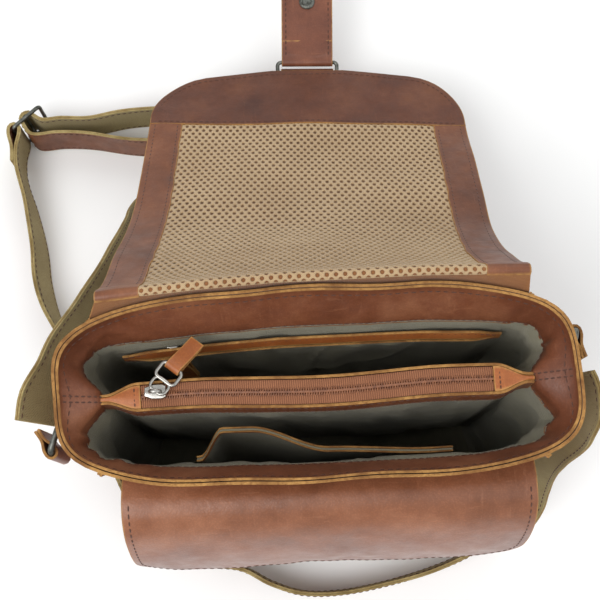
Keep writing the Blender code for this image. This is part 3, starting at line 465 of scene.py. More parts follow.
def leather(name, dark, middle, light, worn=0.75, shine=0.46, painted_sheen=False):
    """Waxed pull-up leather: cloudy colour, pale scuffs and creases, fine pores, worn edges; on request,
    a painted greyish-mauve reflection over its lower part.
    """
    s = Shader(name)
    clouds = s.noise(13.0, 5.0, roughness=0.6)
    blotches = s.noise(46.0, 5.0, roughness=0.65)
    mottle = s.mix(0.38, clouds, blotches)
    colour = s.ramp(mottle, ((0.30, dark), (0.50, middle), (0.70, light)))
    scuffs = s.noise(1.0, 4.0, s.stretched(s.place, (420.0, 40.0, 75.0), 0.5), 0.7)
    scratches = s.noise(1.0, 3.0, s.stretched(s.place, (60.0, 520.0, 90.0), 0.35), 0.6)
    scuffs = s.ramp(scuffs, ((0.60, 0.0), (0.68, 1.0)))
    scratches = s.ramp(scratches, ((0.64, 0.0), (0.69, 1.0)))
    marks = s.math("MULTIPLY", s.math("MAXIMUM", scuffs, scratches), 0.22)
    colour = s.mix(marks, colour, light)
    # Painted reflection: lower down, the colour is mixed towards greyish mauve to stand in for the sheen
    # the leather shows at a grazing view.
    if painted_sheen:
        height = s.node("SeparateXYZ", {0: s.place}, 2)
        lower = s.ramp(s.math("MULTIPLY", height, 4.0), ((0.66, 0.62), (0.86, 0.0)))
        colour = s.mix(lower, colour, tone(146, 118, 112))
    pores = s.cells(880.0)
    speckle = s.ramp(pores, ((0.15, 1.0), (0.55, 0.86)))
    colour = s.mix(1.0, colour, speckle, "MULTIPLY")
    rub = s.ramp(s.noise(240.0, 4.0), ((0.36, 0.35), (0.62, 1.0)))
    wear = s.math("MULTIPLY", s.math("MULTIPLY", s.rim(), rub), worn)
    colour = s.mix(wear, colour, RAW)
    rough = s.ramp(s.noise(90.0, 4.0), ((0.3, shine - 0.09), (0.7, shine + 0.12)))
    rough = s.mix(wear, rough, (0.8, 0.8, 0.8, 1.0))
    grain = s.bump(pores, 0.10, 0.55)
    grain = s.bump(s.noise(2100.0, 3.0), 0.05, 0.5, grain)
    grain = s.bump(s.noise(210.0, 5.0, roughness=0.6), 0.35, 0.5, grain)
    grain = s.bump(s.noise(48.0, 4.0, roughness=0.5), 0.40, 1.4, grain)
    grain = s.bump(s.math("MAXIMUM", scuffs, scratches), 0.06, 0.4, grain)
    return s.finish(Base_Color=colour, Roughness=rough, Normal=grain, Specular_IOR_Level=0.42,
                    Coat_Weight=0.10, Coat_Roughness=0.38)


def raw_leather(name, pale, deep):
    """A cut leather edge: fibrous, dry and uneven."""
    s = Shader(name)
    fibres = s.noise(1.0, 4.0, s.stretched(s.map, (0.55, 3.4, 1.0)))
    spots = s.noise(380.0, 4.0, roughness=0.7)
    blend = s.mix(0.5, fibres, spots)
    colour = s.ramp(blend, ((0.32, deep), (0.56, pale), (0.8, pale)))
    burn = s.ramp(s.noise(64.0, 4.0), ((0.40, 0.0), (0.64, 0.75)))
    colour = s.mix(burn, colour, deep)
    relief = s.bump(fibres, 0.25, 0.7, s.bump(spots, 0.3, 0.6))
    return s.finish(Base_Color=colour, Roughness=0.82, Normal=relief, Specular_IOR_Level=0.2)


def woven(name, warp, weft, stain, pitch, depth, stain_share=0.5):
    """Plain-weave canvas with slubs and rubbed or soiled patches."""
    s = Shader(name)
    across = s.bands(pitch, s.map, "X")
    along = s.bands(pitch, s.map, "Y")
    slub = s.noise(1.0, 3.0, s.stretched(s.map, (0.09, 1.3, 1.0)))
    checker = s.node("TexChecker", {"Vector": s.map, "Scale": 1.0 / pitch}, 1)
    threads = s.mix(checker, across, along)
    colour = s.mix(threads, weft, warp)
    colour = s.mix(0.35, colour, s.ramp(slub, ((0.35, weft), (0.65, warp))))
    clouds = s.ramp(s.noise(17.0, 5.0, roughness=0.62), ((0.40, 0.0), (0.68, stain_share)))
    colour = s.mix(clouds, colour, stain)
    colour = s.mix(s.math("MULTIPLY", s.rim(), 0.45), colour, warp)
    relief = s.bump(threads, depth, 0.8, s.bump(s.noise(600.0, 3.0), 0.12, 0.5))
    return s.finish(Base_Color=colour, Roughness=0.9, Normal=relief, Sheen_Weight=0.18,
                    Sheen_Roughness=0.5, Specular_IOR_Level=0.15)


def knit(name, pale, deep):
    """Spacer-mesh yarn: loops running along the ribs between the holes."""
    s = Shader(name)
    loops = s.bands(0.75, s.stretched(s.map, (1.0, 1.0, 1.0), 0.6), "X")
    cross = s.bands(0.75, s.stretched(s.map, (1.0, 1.0, 1.0), -0.6), "X")
    yarn = s.math("MAXIMUM", loops, cross)
    colour = s.mix(yarn, deep, pale)
    clouds = s.ramp(s.noise(22.0, 4.0), ((0.35, 0.0), (0.7, 0.45)))
    colour = s.mix(clouds, colour, deep)
    relief = s.bump(yarn, 0.22, 0.8, s.bump(s.noise(900.0, 3.0), 0.12, 0.5))
    return s.finish(Base_Color=colour, Roughness=0.88, Normal=relief, Sheen_Weight=0.25,
                    Specular_IOR_Level=0.15)


def ribbed(name, pale, deep):
    """Woven zip tape with ribs across it."""
    s = Shader(name)
    ribs = s.bands(1.15, s.map, "X")
    colour = s.mix(ribs, deep, pale)
    colour = s.mix(s.ramp(s.noise(120.0, 4.0), ((0.3, 0.0), (0.75, 0.5))), colour, deep)
    relief = s.bump(ribs, 0.35, 0.9, s.bump(s.noise(1500.0, 2.0), 0.08, 0.5))
    return s.finish(Base_Color=colour, Roughness=0.78, Normal=relief, Sheen_Weight=0.2,
                    Specular_IOR_Level=0.25)


def thread(name, pale, deep):
    s = Shader(name)
    twist = s.bands(0.0007, s.stretched(s.place, (1.0, 1.0, 1.0), 0.7), "DIAGONAL")
    colour = s.mix(s.noise(500.0, 3.0), deep, pale)
    return s.finish(Base_Color=colour, Roughness=0.7, Normal=s.bump(twist, 0.08, 0.5),
                    Sheen_Weight=0.15)


def metal(name, bright, dull, rough, tarnish):
    """Plated metal with fine scratches and darker, duller patches."""
    s = Shader(name)
    patches = s.ramp(s.noise(210.0, 5.0, roughness=0.65), ((0.38, 0.0), (0.66, tarnish)))
    hairlines = s.noise(1.0, 3.0, s.stretched(s.place, (260.0, 5200.0, 900.0), 0.6))
    colour = s.mix(patches, bright, dull)
    shine = s.math("ADD", s.math("MULTIPLY", patches, 0.22), rough)
    shine = s.math("ADD", shine, s.math("MULTIPLY", hairlines, 0.10))
    relief = s.bump(hairlines, 0.02, 0.4, s.bump(s.noise(700.0, 4.0), 0.05, 0.4))
    return s.finish(Base_Color=colour, Metallic=1.0, Roughness=shine, Normal=relief)


def moulded(name, pale, deep):
    """Nylon zip coil: a little gloss, dust between the teeth."""
    s = Shader(name)
    colour = s.mix(s.ramp(s.noise(420.0, 4.0), ((0.35, 0.0), (0.7, 1.0))), pale, deep)
    return s.finish(Base_Color=colour, Roughness=0.5, Normal=s.bump(s.noise(1300.0), 0.04, 0.5))


def make_materials():
    brown = (tone(88, 46, 32), tone(121, 70, 48), tone(150, 94, 66))
    return {
        "leather": leather("leather_brown", *brown),
        "warm": leather("leather_warm", tone(84, 44, 28), tone(118, 68, 44), tone(152, 100, 70)),
        "dusky": leather("leather_dusky", tone(84, 44, 25), tone(119, 69, 41), tone(152, 98, 64),
                         shine=0.52),
        # The cover's lower part carries a painted greyish-mauve reflection in its colour.
        "cover": leather("leather_cover", tone(98, 56, 34), tone(136, 84, 56), tone(166, 112, 82),
                         shine=0.40, painted_sheen=True),
        "deep": leather("leather_dark", tone(66, 31, 18), tone(96, 51, 29), tone(122, 74, 45),
                        shine=0.54),
        "orange": leather("leather_tan", tone(120, 62, 26), tone(160, 90, 42), tone(190, 118, 64)),
        "suede": woven("leather_back", tone(150, 104, 66), tone(126, 82, 50), tone(108, 66, 40),
                       0.5, 0.12),
        "raw": raw_leather("leather_cut_edge", tone(176, 132, 76), tone(104, 66, 35)),
        "selvage": raw_leather("canvas_edge", tone(170, 152, 104), tone(118, 98, 58)),
        "lining": woven("canvas_lining", tone(150, 145, 122), tone(126, 121, 100),
                        tone(98, 94, 76), 0.62, 0.22, 0.6),
        "khaki": woven("canvas_khaki", tone(186, 170, 120), tone(158, 140, 92),
                       tone(128, 108, 64), 0.9, 0.40),
        "mesh": knit("mesh_beige", tone(196, 170, 134), tone(160, 130, 94)),
        "backing": woven("mesh_backing", tone(138, 106, 74), tone(112, 82, 56), tone(92, 66, 46),
                         0.7, 0.15),
        "tape": ribbed("zip_tape", tone(160, 106, 74), tone(112, 68, 44)),
        "coil": moulded("zip_coil", tone(138, 88, 58), tone(96, 56, 36)),
        "silver": metal("silver_metal", tone(178, 176, 170), tone(92, 90, 84), 0.26, 0.35),
        "nickel": metal("nickel_antique", tone(128, 130, 124), tone(52, 52, 46), 0.32, 0.85),
        "thread": thread("thread_brown", tone(92, 52, 32), tone(56, 30, 20)),
        "thread_pale": thread("thread_tan", tone(176, 128, 84), tone(132, 88, 52)),
    }


MATERIALS = make_materials()


# ---- the bag's own surfaces -----------------------------------------------------------------
def station(z, column, reach=6.0):
    """A station value at z, with the corners between stations rounded off."""
    return sum(np.interp(z + d, WALL_STATIONS[:, 0], WALL_STATIONS[:, column])
               for d in np.linspace(-reach, reach, 5)) / 5


def wall(z, inset=0.0):
    z = np.asarray(z, float)
    return station(z, 1) - inset, station(z, 2) - inset, station(z, 3)


def wall_y(x, z, inset=0.0):
    a, b, n = wall(z, inset)
    return b * (1.0 - np.minimum(np.abs(x) / a, 1.0) ** n) ** (1.0 / n)


def wall_x(y, z, inset=0.0):
    a, b, n = wall(z, inset)
    return a * (1.0 - np.minimum(np.abs(y) / b, 1.0) ** n) ** (1.0 / n)


def stack(x, y, z):
    return np.stack(np.broadcast_arrays(np.asarray(x, float), y, z), axis=-1)


def wall_point(side, u, z, inset=0.0):
    """A point of the wall; u runs from one corner seam (-1) to the next (1)."""
    a, b, n = wall(z, inset)
    corner = 0.5 ** (1.0 / n)
    if side in ("front", "back"):
        x = u * corner * a
        y = wall_y(x, z, inset)
        return stack(x, -y if side == "front" else y, z)
    y = u * corner * b
    x = wall_x(y, z, inset)
    return stack(-x if side == "left" else x, y, z)


def inner_point(side, u, z, depth):
    """A point of the inner skin, depth inside the face that looks at the wall's leather."""
    at = wall_point(side, u, z, LEATHER + 2 * GAP + depth)
    drop = HEIGHT - np.asarray(z, float)
    if side in ("front", "back"):
        slack = FRONT_SLACK if side == "front" else -BACK_SLACK
        at[..., 1] += slack * smooth(drop / FACING_DEPTH) * (1.0 - np.abs(u) ** 8)
        return at
    pinch = wall_x(0.0, z, LEATHER + 2 * GAP) - (DIVIDER_HALF + 4.0)
    pinch = pinch * smooth(drop / (HEIGHT - DIVIDER_TOP)) * np.exp(-(at[..., 1] / PINCH_WIDTH) ** 2)
    at[..., 0] += pinch if side == "left" else -pinch
    return at


SIDES = (("right", -1.0, 1.0), ("back", 1.0, -1.0), ("left", 1.0, -1.0), ("front", -1.0, 1.0))


def around(point, z, depth, step):
    """Rows of points all the way round the bag, level by level."""
    z = np.asarray(z, float)[:, None]
    parts = []
    for side, first, last in SIDES:
        count = round((236.0 if side in ("front", "back") else 84.0) / step)
        u = np.linspace(first, last, count + 1)[:-1]
        parts.append(point(side, u[None, :], z, depth))
    return np.concatenate(parts, axis=1)


def back_shift(x):
    """How far the back wall is moved along y, most at its left end."""
    return np.interp(x, (-128.0, -95.0, -60.0, -20.0, 60.0, 128.0),
                     (-8.0, -5.2, -2.6, -0.6, 0.0, -2.0))


def lean(points):
    """The body's lopsided stand: its left back corner is drawn in, its left side slants."""
    p = np.array(points, float)
    x, y = p[..., 0], p[..., 1]
    share = smooth((p[..., 2] - 70.0) / 130.0)
    back = smooth((y + 48.0) / 96.0)
    front_shift = np.interp(x, (-110.0, 20.0), (1.2, 0.2))
    drawn = back_shift(x) * back + front_shift * (1.0 - back)
    p[..., 1] += share * drawn
    p[..., 0] -= share * 3.2 * np.clip(y / 40.0, -1.0, 1.0) * smooth((-x - 60.0) / 60.0)
    return p


def settle(points):
    """Slack of the mouth, shared by every layer of the body near the rim."""
    p = np.array(points, float)
    lift = smooth((p[..., 2] - 205.0) / 40.0)
    flat = p * (1.0, 1.0, 0.0)
    p[..., 2] += 0.8 * lift * ripple(flat, 95.0, 3)
    out = unit(flat / (1.0, 0.5, 1.0))
    p = p + out * (0.9 * lift * ripple(flat, 70.0, 5))[..., None]
    return lean(p)


def dent(points):
    """Soft hollows of the empty body below the rim; they only go inward."""
    p = np.array(points, float)
    share = smooth((p[..., 2] - 12.0) / 30.0) * smooth((236.0 - p[..., 2]) / 30.0)
    deep = share * (0.65 + 0.55 * ripple(p, 88.0, 11) + 0.25 * ripple(p, 34.0, 12))
    deep = np.maximum(deep, 0.0)
    return p - unit(p * (1.0, 2.2, 0.0)) * deep[..., None]


# ---- body -----------------------------------------------------------------------------------
def rows_to(top, bottom, step):
    return top - edged(top - bottom, step) * (top - bottom)


def shell():
    """Outer leather: one loft from the rim down and across the floor."""
    z = np.concatenate((HEIGHT - edged(HEIGHT - 9.0, 3.4)[:-1] * (HEIGHT - 9.0), (8.5, 6.0, 4.0)))
    grids = []
    for depth in (0.0, LEATHER):
        grid = settle(dent(around(wall_point, z, depth, 3.4)))
        base = grid[-1]
        turned = [base * (k, k, 0.0) + (0.0, 0.0, level + depth) for k, level in
                  ((0.992, 2.4), (0.975, 1.1), (0.94, 0.5), (0.8, 0.3), (0.5, 0.5), (0.2, 0.7))]
        grids.append(np.concatenate((grid, np.array(turned))))
    solid = sheet(*grids, closed=True, skins=(0, 1, 2), floor=True)
    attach(solid.put("shell", ("leather", "raw", "suede"), (
        "front_panel", "back_panel", "gusset_left", "gusset_right", "bottom_panel")), "bag")
    threads = Solid()
    for z in (HEIGHT - 5.2, 13.0):
        line = settle(dent(around(wall_point, np.array([z]), 0.0, 3.4)))[0]
        line = np.concatenate((line, line[:1]))
        stitches(threads, line, unit(line * (1.0, 1.6, 0.0)))
    for side in ("front", "back"):
        for edge in (-1.0, 1.0):
            z = np.linspace(HEIGHT - 9.0, 18.0, 80)
            line = settle(dent(wall_point(side, edge * 0.955, z, 0.0)))
            stitches(threads, line, unit(line * (1.0, 2.0, 0.0)))
    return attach(threads.put("shell_stitches", ("thread",)), "bag")


def corner_seams():
    """Seam allowance of each corner: two raw leather edges standing off the body."""
    solid = Solid()
    z = rows_to(HEIGHT - 0.6, 16.0, 3.4)
    for sx in (-1.0, 1.0):
        for sy, side in ((-1.0, "front"), (1.0, "back")):
            base = settle(dent(wall_point(side, sx, z, 0.4)))
            out = unit(np.array((sx * 0.62, sy * 0.78, 0.0)))
            along = unit(np.cross(UP, out))
            reach = 1.7 + 0.35 * ripple(base, 26.0, 21)
            sway = 0.4 * ripple(base, 31.0, 22)
            for layer in (-1.0, 1.0):
                share = np.array((0.0, 0.3, 0.6, 0.82, 1.0))
                spine = base[:, None] + (out * (reach[:, None] * share)[..., None]
                                         + along * (sway[:, None] * share ** 2)[..., None])
                near = spine + along * layer * 0.10
                far = spine + along * layer * 1.35
                sheet(far, near, skins=(0, 1, 0), into=solid)
    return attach(solid.put("corner_seams", ("warm", "raw")), "bag")


def facing_gather(points):
    """Puckers of the facing where the corners take up its extra length; they fade below it."""
    p = np.array(points, float)
    drop = np.clip((HEIGHT - p[..., 2]) / FACING_DEPTH, 0.0, 1.0)
    fade = 1.0 - smooth((HEIGHT - FACING_DEPTH - 2.0 - p[..., 2]) / 26.0)
    turn = np.arctan2(p[..., 1] * 2.2, p[..., 0])
    corner = np.zeros(p.shape[:-1])
    for sx in (-1.0, 1.0):
        for sy in (-1.0, 1.0):
            away = np.hypot(p[..., 0] - sx * 122.0, (p[..., 1] - sy * 40.0) * 1.2)
            corner += hump(away, 0.0, 26.0)
    fold = np.sin(turn * 40.0 + 2.5 * np.sin(turn * 5.0) + drop * 2.5)
    side = smooth((np.abs(p[..., 0]) - 98.0) / 16.0)
    slant = p * (1.0, 1.0, 0.75) + (0.0, 0.0, 1.0) * np.abs(p[..., 1:2])
    ridge = np.maximum(1.0 - 1.3 * np.abs(ripple(slant, 30.0, 33)), 0.0) ** 2
    soft = 0.9 * ripple(p, 40.0, 31) + 0.4 * ripple(p, 16.0, 32)
    inward = (1.5 * np.minimum(corner, 1.0) * (0.9 + fold) + 0.8 * np.maximum(soft, -0.6)
              * (0.45 + side) + 1.9 * side * ridge)
    inward = np.maximum(inward, 0.0) * fade * smooth(drop * 1.25)
    return p - unit(p * (1.0, 2.0, 0.0)) * inward[..., None]


def facings():
    """Leather band inside the mouth, gathered at the corners, with its seams and stitches."""
    z = rows_to(HEIGHT + 0.2, HEIGHT - FACING_DEPTH, 1.9)
    near = facing_gather(settle(around(inner_point, z, 1.3, 1.9)))
    far = facing_gather(settle(around(inner_point, z, 0.0, 1.9)))
    groove = 0.55 * hump(near[..., 1], 0.0, 0.9) * (np.abs(near[..., 0]) > 100.0)
    near = near + unit(near * (1.0, 2.0, 0.0)) * groove[..., None]
    solid = sheet(near, far, closed=True, skins=(0, 1, 0))
    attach(solid.put("facing", ("warm", "raw"), (
        "facing_front", "facing_back", "facing_left", "facing_right")), "bag")
    threads = Solid()
    for z, pitch in ((HEIGHT - 4.6, STITCH_PITCH), (HEIGHT - FACING_DEPTH + 2.6, 3.8)):
        line = facing_gather(settle(around(inner_point, np.array([z]), 1.3, 1.9)))[0]
        line = np.concatenate((line, line[:1]))
        stitches(threads, line, -unit(line * (1.0, 2.0, 0.0)), pitch)
    for side in ("left", "right"):
        for offset in (-2.0, 2.0):
            z = np.linspace(HEIGHT - 1.5, HEIGHT - FACING_DEPTH + 3.0, 24)
            line = facing_gather(settle(inner_point(side, offset / 44.0, z, 1.3)))
            stitches(threads, line, (1.0 if side == "left" else -1.0, 0.0, 0.0), 3.4, 2.3)
    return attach(threads.put("facing_stitches", ("thread",)), "bag")


def crumple(points):
    """Folds of the slack canvas: long soft ones with small creases on them."""
    p = np.array(points, float)
    drop = smooth((HEIGHT - FACING_DEPTH - 1.5 - p[..., 2]) / 14.0)
    near_floor = smooth((p[..., 2] - 6.0) / 14.0)
    long = 2.8 * ripple(p * (1.0, 1.0, 0.3), 56.0, 41) + 1.5 * ripple(p * (1.0, 1.0, 0.5), 25.0, 42)
    ridge = 1.0 - 1.5 * np.abs(ripple(p * (1.0, 1.0, 0.45), 30.0, 43))
    sharp = 2.2 * np.maximum(ridge, 0.0) ** 2
    inward = np.maximum(1.6 + long + sharp, 0.0) * drop * near_floor
    x, y, z = p[..., 0], p[..., 1], p[..., 2]
    by_zip = smooth((118.0 - np.abs(x)) / 8.0) * smooth((15.0 - np.abs(z - BACK_ZIP_Z)) / 5.0) * (y > 0)
    by_slip = (smooth((x + 74.0) / 6.0) * smooth((80.0 - x) / 6.0) * smooth((212.0 - z) / 5.0)
               * smooth((z - 84.0) / 8.0) * (y < 0))
    inward = np.where(by_zip > 0, np.minimum(inward, 1.2 + 6.0 * (1.0 - by_zip)), inward)
    inward = np.where(by_slip > 0, np.minimum(inward, 0.8 + 6.0 * (1.0 - by_slip)), inward)
    return p - unit(p * (1.0, 1.7, 0.0)) * inward[..., None]


def lining():
    """The canvas bag inside, sewn under the facing."""
    z = np.concatenate((rows_to(HEIGHT - FACING_DEPTH + 2.0, 14.0, 3.2)[:-1], (12.0, 8.5, 6.2)))
    grids = []
    for depth in (LINING_DEPTH + LINING, LINING_DEPTH):
        squeeze = 4.0 * smooth((14.0 - z) / 8.0)[:, None]
        grid = crumple(facing_gather(settle(around(inner_point, z, depth + squeeze, 3.2))))
        base = grid[-1] * (1.0, 1.0, 0.0)
        floor = [base * k + (0.0, 0.0, 5.0 + depth + 1.2 * (1.0 - k)) for k in
                 (0.97, 0.9, 0.75, 0.5, 0.25, 0.08)]
        floor = np.array(floor)
        floor[..., 2] += 0.6 * ripple(floor, 30.0, 44)
        grids.append(np.concatenate((grid, floor)))
    solid = sheet(*grids, closed=True, skins=(0, 0, 0), floor=True, swell=0.1)
    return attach(solid.put("lining_canvas", ("lining",), ("lining", "back_pocket_pouch")), "bag")


# ---- zipped divider -------------------------------------------------------------------------
def divider_half(x):
    """Half the divider's depth; it narrows towards its ends."""
    taper = smooth((np.abs(x) - DIVIDER_TAPER) / (DIVIDER_HALF - DIVIDER_TAPER))
    return DIVIDER_HALF_DEPTH - 5.6 * taper


def bow(x):
    """The divider leans to the front between the two ends of the slider's travel."""
    share = np.clip(np.abs(x) / 79.0, 0.0, 1.0)
    return -DIVIDER_BOW * np.cos(share * math.pi / 2.0) ** 2


def columns(half, step=2.6):
    """Places from -half to half, with a narrow cell at each end."""
    return -half + edged(2 * half, step) * 2 * half


def divider_columns(step=2.6):
    return columns(DIVIDER_HALF + 2.5, step)


def divider_walls():
    """Slack canvas walls on each side of the divider."""
    x = divider_columns(3.0)
    z = rows_to(DIVIDER_TOP - 0.4, DIVIDER_BOTTOM, 3.4)
    for name, sign in (("front", -1.0), ("back", 1.0)):
        grids = []
        for inset in (0.2, 0.2 + LINING):
            swell = np.interp(z, (DIVIDER_BOTTOM, 60.0, 150.0, DIVIDER_TOP), (0.2, 1.0, 1.25, 1.0))
            y = np.maximum(divider_half(x)[None] * swell[:, None], 1.3) - inset
            grid = stack(x[None] * 0.995, sign * y + bow(x)[None], z[:, None])
            slack = smooth((DIVIDER_TOP - 14.0 - z) / 25.0)[:, None] * smooth((106.0 - np.abs(x)) / 20.0)
            fold = 1.3 * ripple(grid * (1.0, 0.0, 0.4), 48.0, 51) + 0.7 * ripple(grid, 21.0, 52)
            grid[..., 1] += sign * slack * (np.maximum(fold, -0.8) - 0.2)
            grids.append(lean(grid))
        solid = sheet(*grids, skins=(0, 0, 0), swell=0.1)
        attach(solid.put("divider_canvas_" + name, ("lining",), ("divider_wall_" + name,)), "bag")


def divider_bands():
    """Leather edge down each side of the zip: deep in front, narrow behind."""
    x = divider_columns()
    threads = Solid()
    for name, sign, depth in (("front", -1.0, 16.0), ("back", 1.0, 9.0)):
        top = DIVIDER_TOP + 1.3
        z = rows_to(top, top - depth, 1.8)
        wave = 0.35 * ripple(stack(x, 0.0, 0.0), 42.0, 53)
        grids = []
        for out in (0.2 + LEATHER, 0.2):
            share = (top - z)[:, None] / 16.0
            y = divider_half(x)[None] * (1.0 + 0.06 * share) + out
            grids.append(lean(stack(x[None], sign * y + bow(x) + wave * share * sign,
                                    z[:, None] + wave[None] * 0.5)))
        solid = sheet(*grids, skins=(0, 1, 0), swell=0.3)
        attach(solid.put("divider_leather_" + name, ("warm", "raw"), ("divider_band_" + name,)),
                "bag")
        for drop in (2.6, depth - 2.4):
            inner = np.abs(x) < DIVIDER_HALF - 3.0
            y = divider_half(x) * (1.0 + 0.06 * drop / 16.0) + 0.2 + LEATHER
            line = lean(stack(x, sign * y + bow(x) + wave * drop / 16.0 * sign, top - drop))[inner]
            stitches(threads, line, (0.0, sign, 0.0), 3.9)
    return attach(threads.put("divider_stitches", ("thread",)), "bag")


def zip_teeth(solid, spine, up, pitch=1.35, reach=2.3):
    """Two rows of slanted coil teeth that mesh along a spine."""
    run = lengths_along(spine)
    for row, sign in ((0.0, -1.0), (0.5, 1.0)):
        at = np.arange(0.6 + row * pitch, run[-1] - 0.6, pitch)
        middle = sample(spine, at)
        ahead = unit(sample(spine, at + 0.3) - sample(spine, at - 0.3))
        side = np.cross(up, ahead) * sign
        rings = []
        for t, wide in ((0.0, 0.5), (0.15, 0.95), (0.55, 1.0), (0.9, 0.85), (1.0, 0.4)):
            spot = middle + side * (1.25 * t - 0.25) * reach + ahead * 0.28 * t * pitch * sign
            rings.append(spot[:, None] + wide * (
                0.50 * STITCH_SECTION[None, :, :1] * ahead[:, None]
                + (0.62 - 0.2 * t) * STITCH_SECTION[None, :, 1:] * up))
        add_beads(solid, rings, 0)
    return solid


def divider_zip():
    """Tape, coil and end tabs of the divider's zip."""
    x = columns(ZIP_HALF)
    for name, sign in (("front", -1.0), ("back", 1.0)):
        share = np.array((0.0, 0.12, 0.4, 0.7, 1.0))[:, None]
        y = sign * (1.3 + (divider_half(x)[None] - 0.2 - 1.3) * share)
        arch = 0.5 * np.sin(share * math.pi)
        grids = [lean(stack(x[None], y + bow(x), DIVIDER_TOP + up + arch)) for up in (0.45, -0.15)]
        solid = sheet(*grids, skins=(0, 0, 0), swell=0.1)
        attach(solid.put("divider_tape_" + name, ("tape",), ("divider_zip_tape_" + name,)), "bag")
    spine = lean(stack(x, bow(x), DIVIDER_TOP + 0.75))
    core = tube(spine - (0.0, 0.0, 0.15), 0.75, sides=8, side_way=(0.0, 0.0, 1.0))
    zip_teeth(core, spine, UP)
    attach(core.put("divider_coil", ("coil",), ("divider_zip_chain",)), "bag")
    threads = Solid()
    for name, sign in (("left", -1.0), ("right", 1.0)):
        along = ZIP_HALF + 0.3 + edged(21.5, 1.9) * 21.5
        across = np.linspace(-1.0, 1.0, 9)[:, None]
        swell = 0.6 * (1.0 - across ** 2) + 0.25 * ripple(stack(along[None] * sign, across * 5, 0.0),
                                                          9.0, 55)
        grids = [lean(stack(sign * along[None], across * (divider_half(along) - 0.1) + bow(along),
                            DIVIDER_TOP + up + swell)) for up in (1.3, -0.1)]
        solid = sheet(*grids, skins=(0, 1, 0), swell=0.3)
        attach(solid.put("divider_tab_" + name, ("orange", "raw"), ("divider_end_tab_" + name,)),
                "bag")
        line = lean(stack(sign * (ZIP_HALF + 3.4), np.linspace(-5.6, 5.6, 9), DIVIDER_TOP + 1.75))
        stitches(threads, line, UP, 2.6, 1.9, 0.34, start=0.3)
    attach(threads.put("divider_tab_stitches", ("thread",)), "bag")


def pull_slider(name, cad, centre, along, up, body):
    """Zip slider: a waisted shield over the coil with a wire bail."""
    centre, along, up = np.array(centre, float), unit(along), unit(up)
    across = np.cross(up, along)
    stations = np.linspace(-5.4, 5.4, 15)
    half = 3.9 - 1.3 * smooth((-stations - 1.0) / 4.4) - 0.7 * smooth((stations - 3.4) / 2.0)
    grids = []
    for level, inset in ((1.9, 0.35), (0.1, 0.0)):
        share = np.linspace(-1.0, 1.0, 9)[:, None]
        crown = 0.45 * (1.0 - share ** 2) if level > 1.0 else 0.0 * share
        grids.append(centre + along * stations[None, :, None]
                     + across * (share * (half - inset)[None])[..., None]
                     + up * (level + crown + 0.0 * stations[None])[..., None])
    solid = sheet(*grids, skins=(0, 0, 0), swell=0.3)
    turn = np.radians(np.linspace(-20.0, 200.0, 18))
    bail = centre + along * (3.2 * np.cos(turn))[:, None] + up * (1.5 + 3.1 * np.sin(turn))[:, None]
    tube(bail, 0.72, sides=10, squash=1.5, into=solid, side_way=across)
    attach(solid.put(name, ("silver",), (cad,)), body)


def wire_ring(solid, centre, long_way, short_way, half_long, half_short, corner, wire, squash=1.0):
    """A rounded rectangle of round wire; half sizes are to the wire's middle."""
    long_way, short_way = unit(long_way), unit(short_way)
    path = []
    for turn, along, down in ((0, 1, 1), (90, -1, 1), (180, -1, -1), (270, 1, -1)):
        middle = (along * (half_long - corner) * long_way + down * (half_short - corner) * short_way)
        for angle in np.radians(np.linspace(turn, turn + 90, 7)):
            path.append(np.array(centre) + middle
                        + corner * (math.cos(angle) * long_way + math.sin(angle) * short_way))
    full = []
    for here, after in zip(path, path[1:] + path[:1]):
        pieces = max(1, round(np.linalg.norm(after - here) / 3.0))
        full += [here + (after - here) * i / pieces for i in range(pieces)]
    return tube(np.array(full), wire, closed=True, squash=squash, into=solid,
                side_way=np.cross(long_way, short_way))


def fold_path(bar, away, width_way, radius, spread_to, length):
    """Path of a strap end that wraps a bar and lies back on itself; away points to the strap."""
    away, width_way = unit(away), unit(width_way)
    side = np.cross(width_way, away)
    keys = []
    for along, out in ((length, spread_to), (length * 0.55, spread_to), (radius * 0.9, radius)):
        keys.append(np.array(bar) + away * along - side * out)
    for angle in np.radians((200, 235, 270, 305, 340)):
        keys.append(np.array(bar) + radius * (math.cos(angle) * side + math.sin(angle) * away))
    for along, out in ((radius * 0.9, radius), (length * 0.55, spread_to), (length, spread_to)):
        keys.append(np.array(bar) + away * along + side * out)
    return [np.concatenate((k, width_way)) for k in keys]


def ribbon_ways(path):
    """Directions across a strap and out of its face, at each point of its path."""
    ahead = tangents(path)
    across = unit(path[:, 3:] - ahead * np.sum(path[:, 3:] * ahead, axis=1, keepdims=True))
    return across, np.cross(across, ahead)


def ribbon(path, low, high, width, skins=(0, 1, 0), swell=0.22, wave=0.0, step=2.6):
    """A strap along a path of x, y, z and width direction; low and high are its two faces."""
    path = np.asarray(path, float)
    across, left = ribbon_ways(path)
    share = edged(width, step) * 2.0 - 1.0
    half = width / 2 * np.ones(len(path))
    spine = path[:, None, :3] + across[:, None] * (share[None] * half[:, None])[..., None]
    if wave:
        spine = spine + left[:, None] * (wave * ripple(spine, 30.0, STRAP_SEED))[..., None]
    return sheet(spine + left[:, None] * high, spine + left[:, None] * low, skins=skins,
                 swell=swell)


def ribbon_line(path, level, offset):
    """A line on a strap's face at an offset across it, with its outward direction."""
    path = np.asarray(path, float)
    across, left = ribbon_ways(path)
    return path[:, :3] + across * offset + left * level, left * math.copysign(1.0, level)


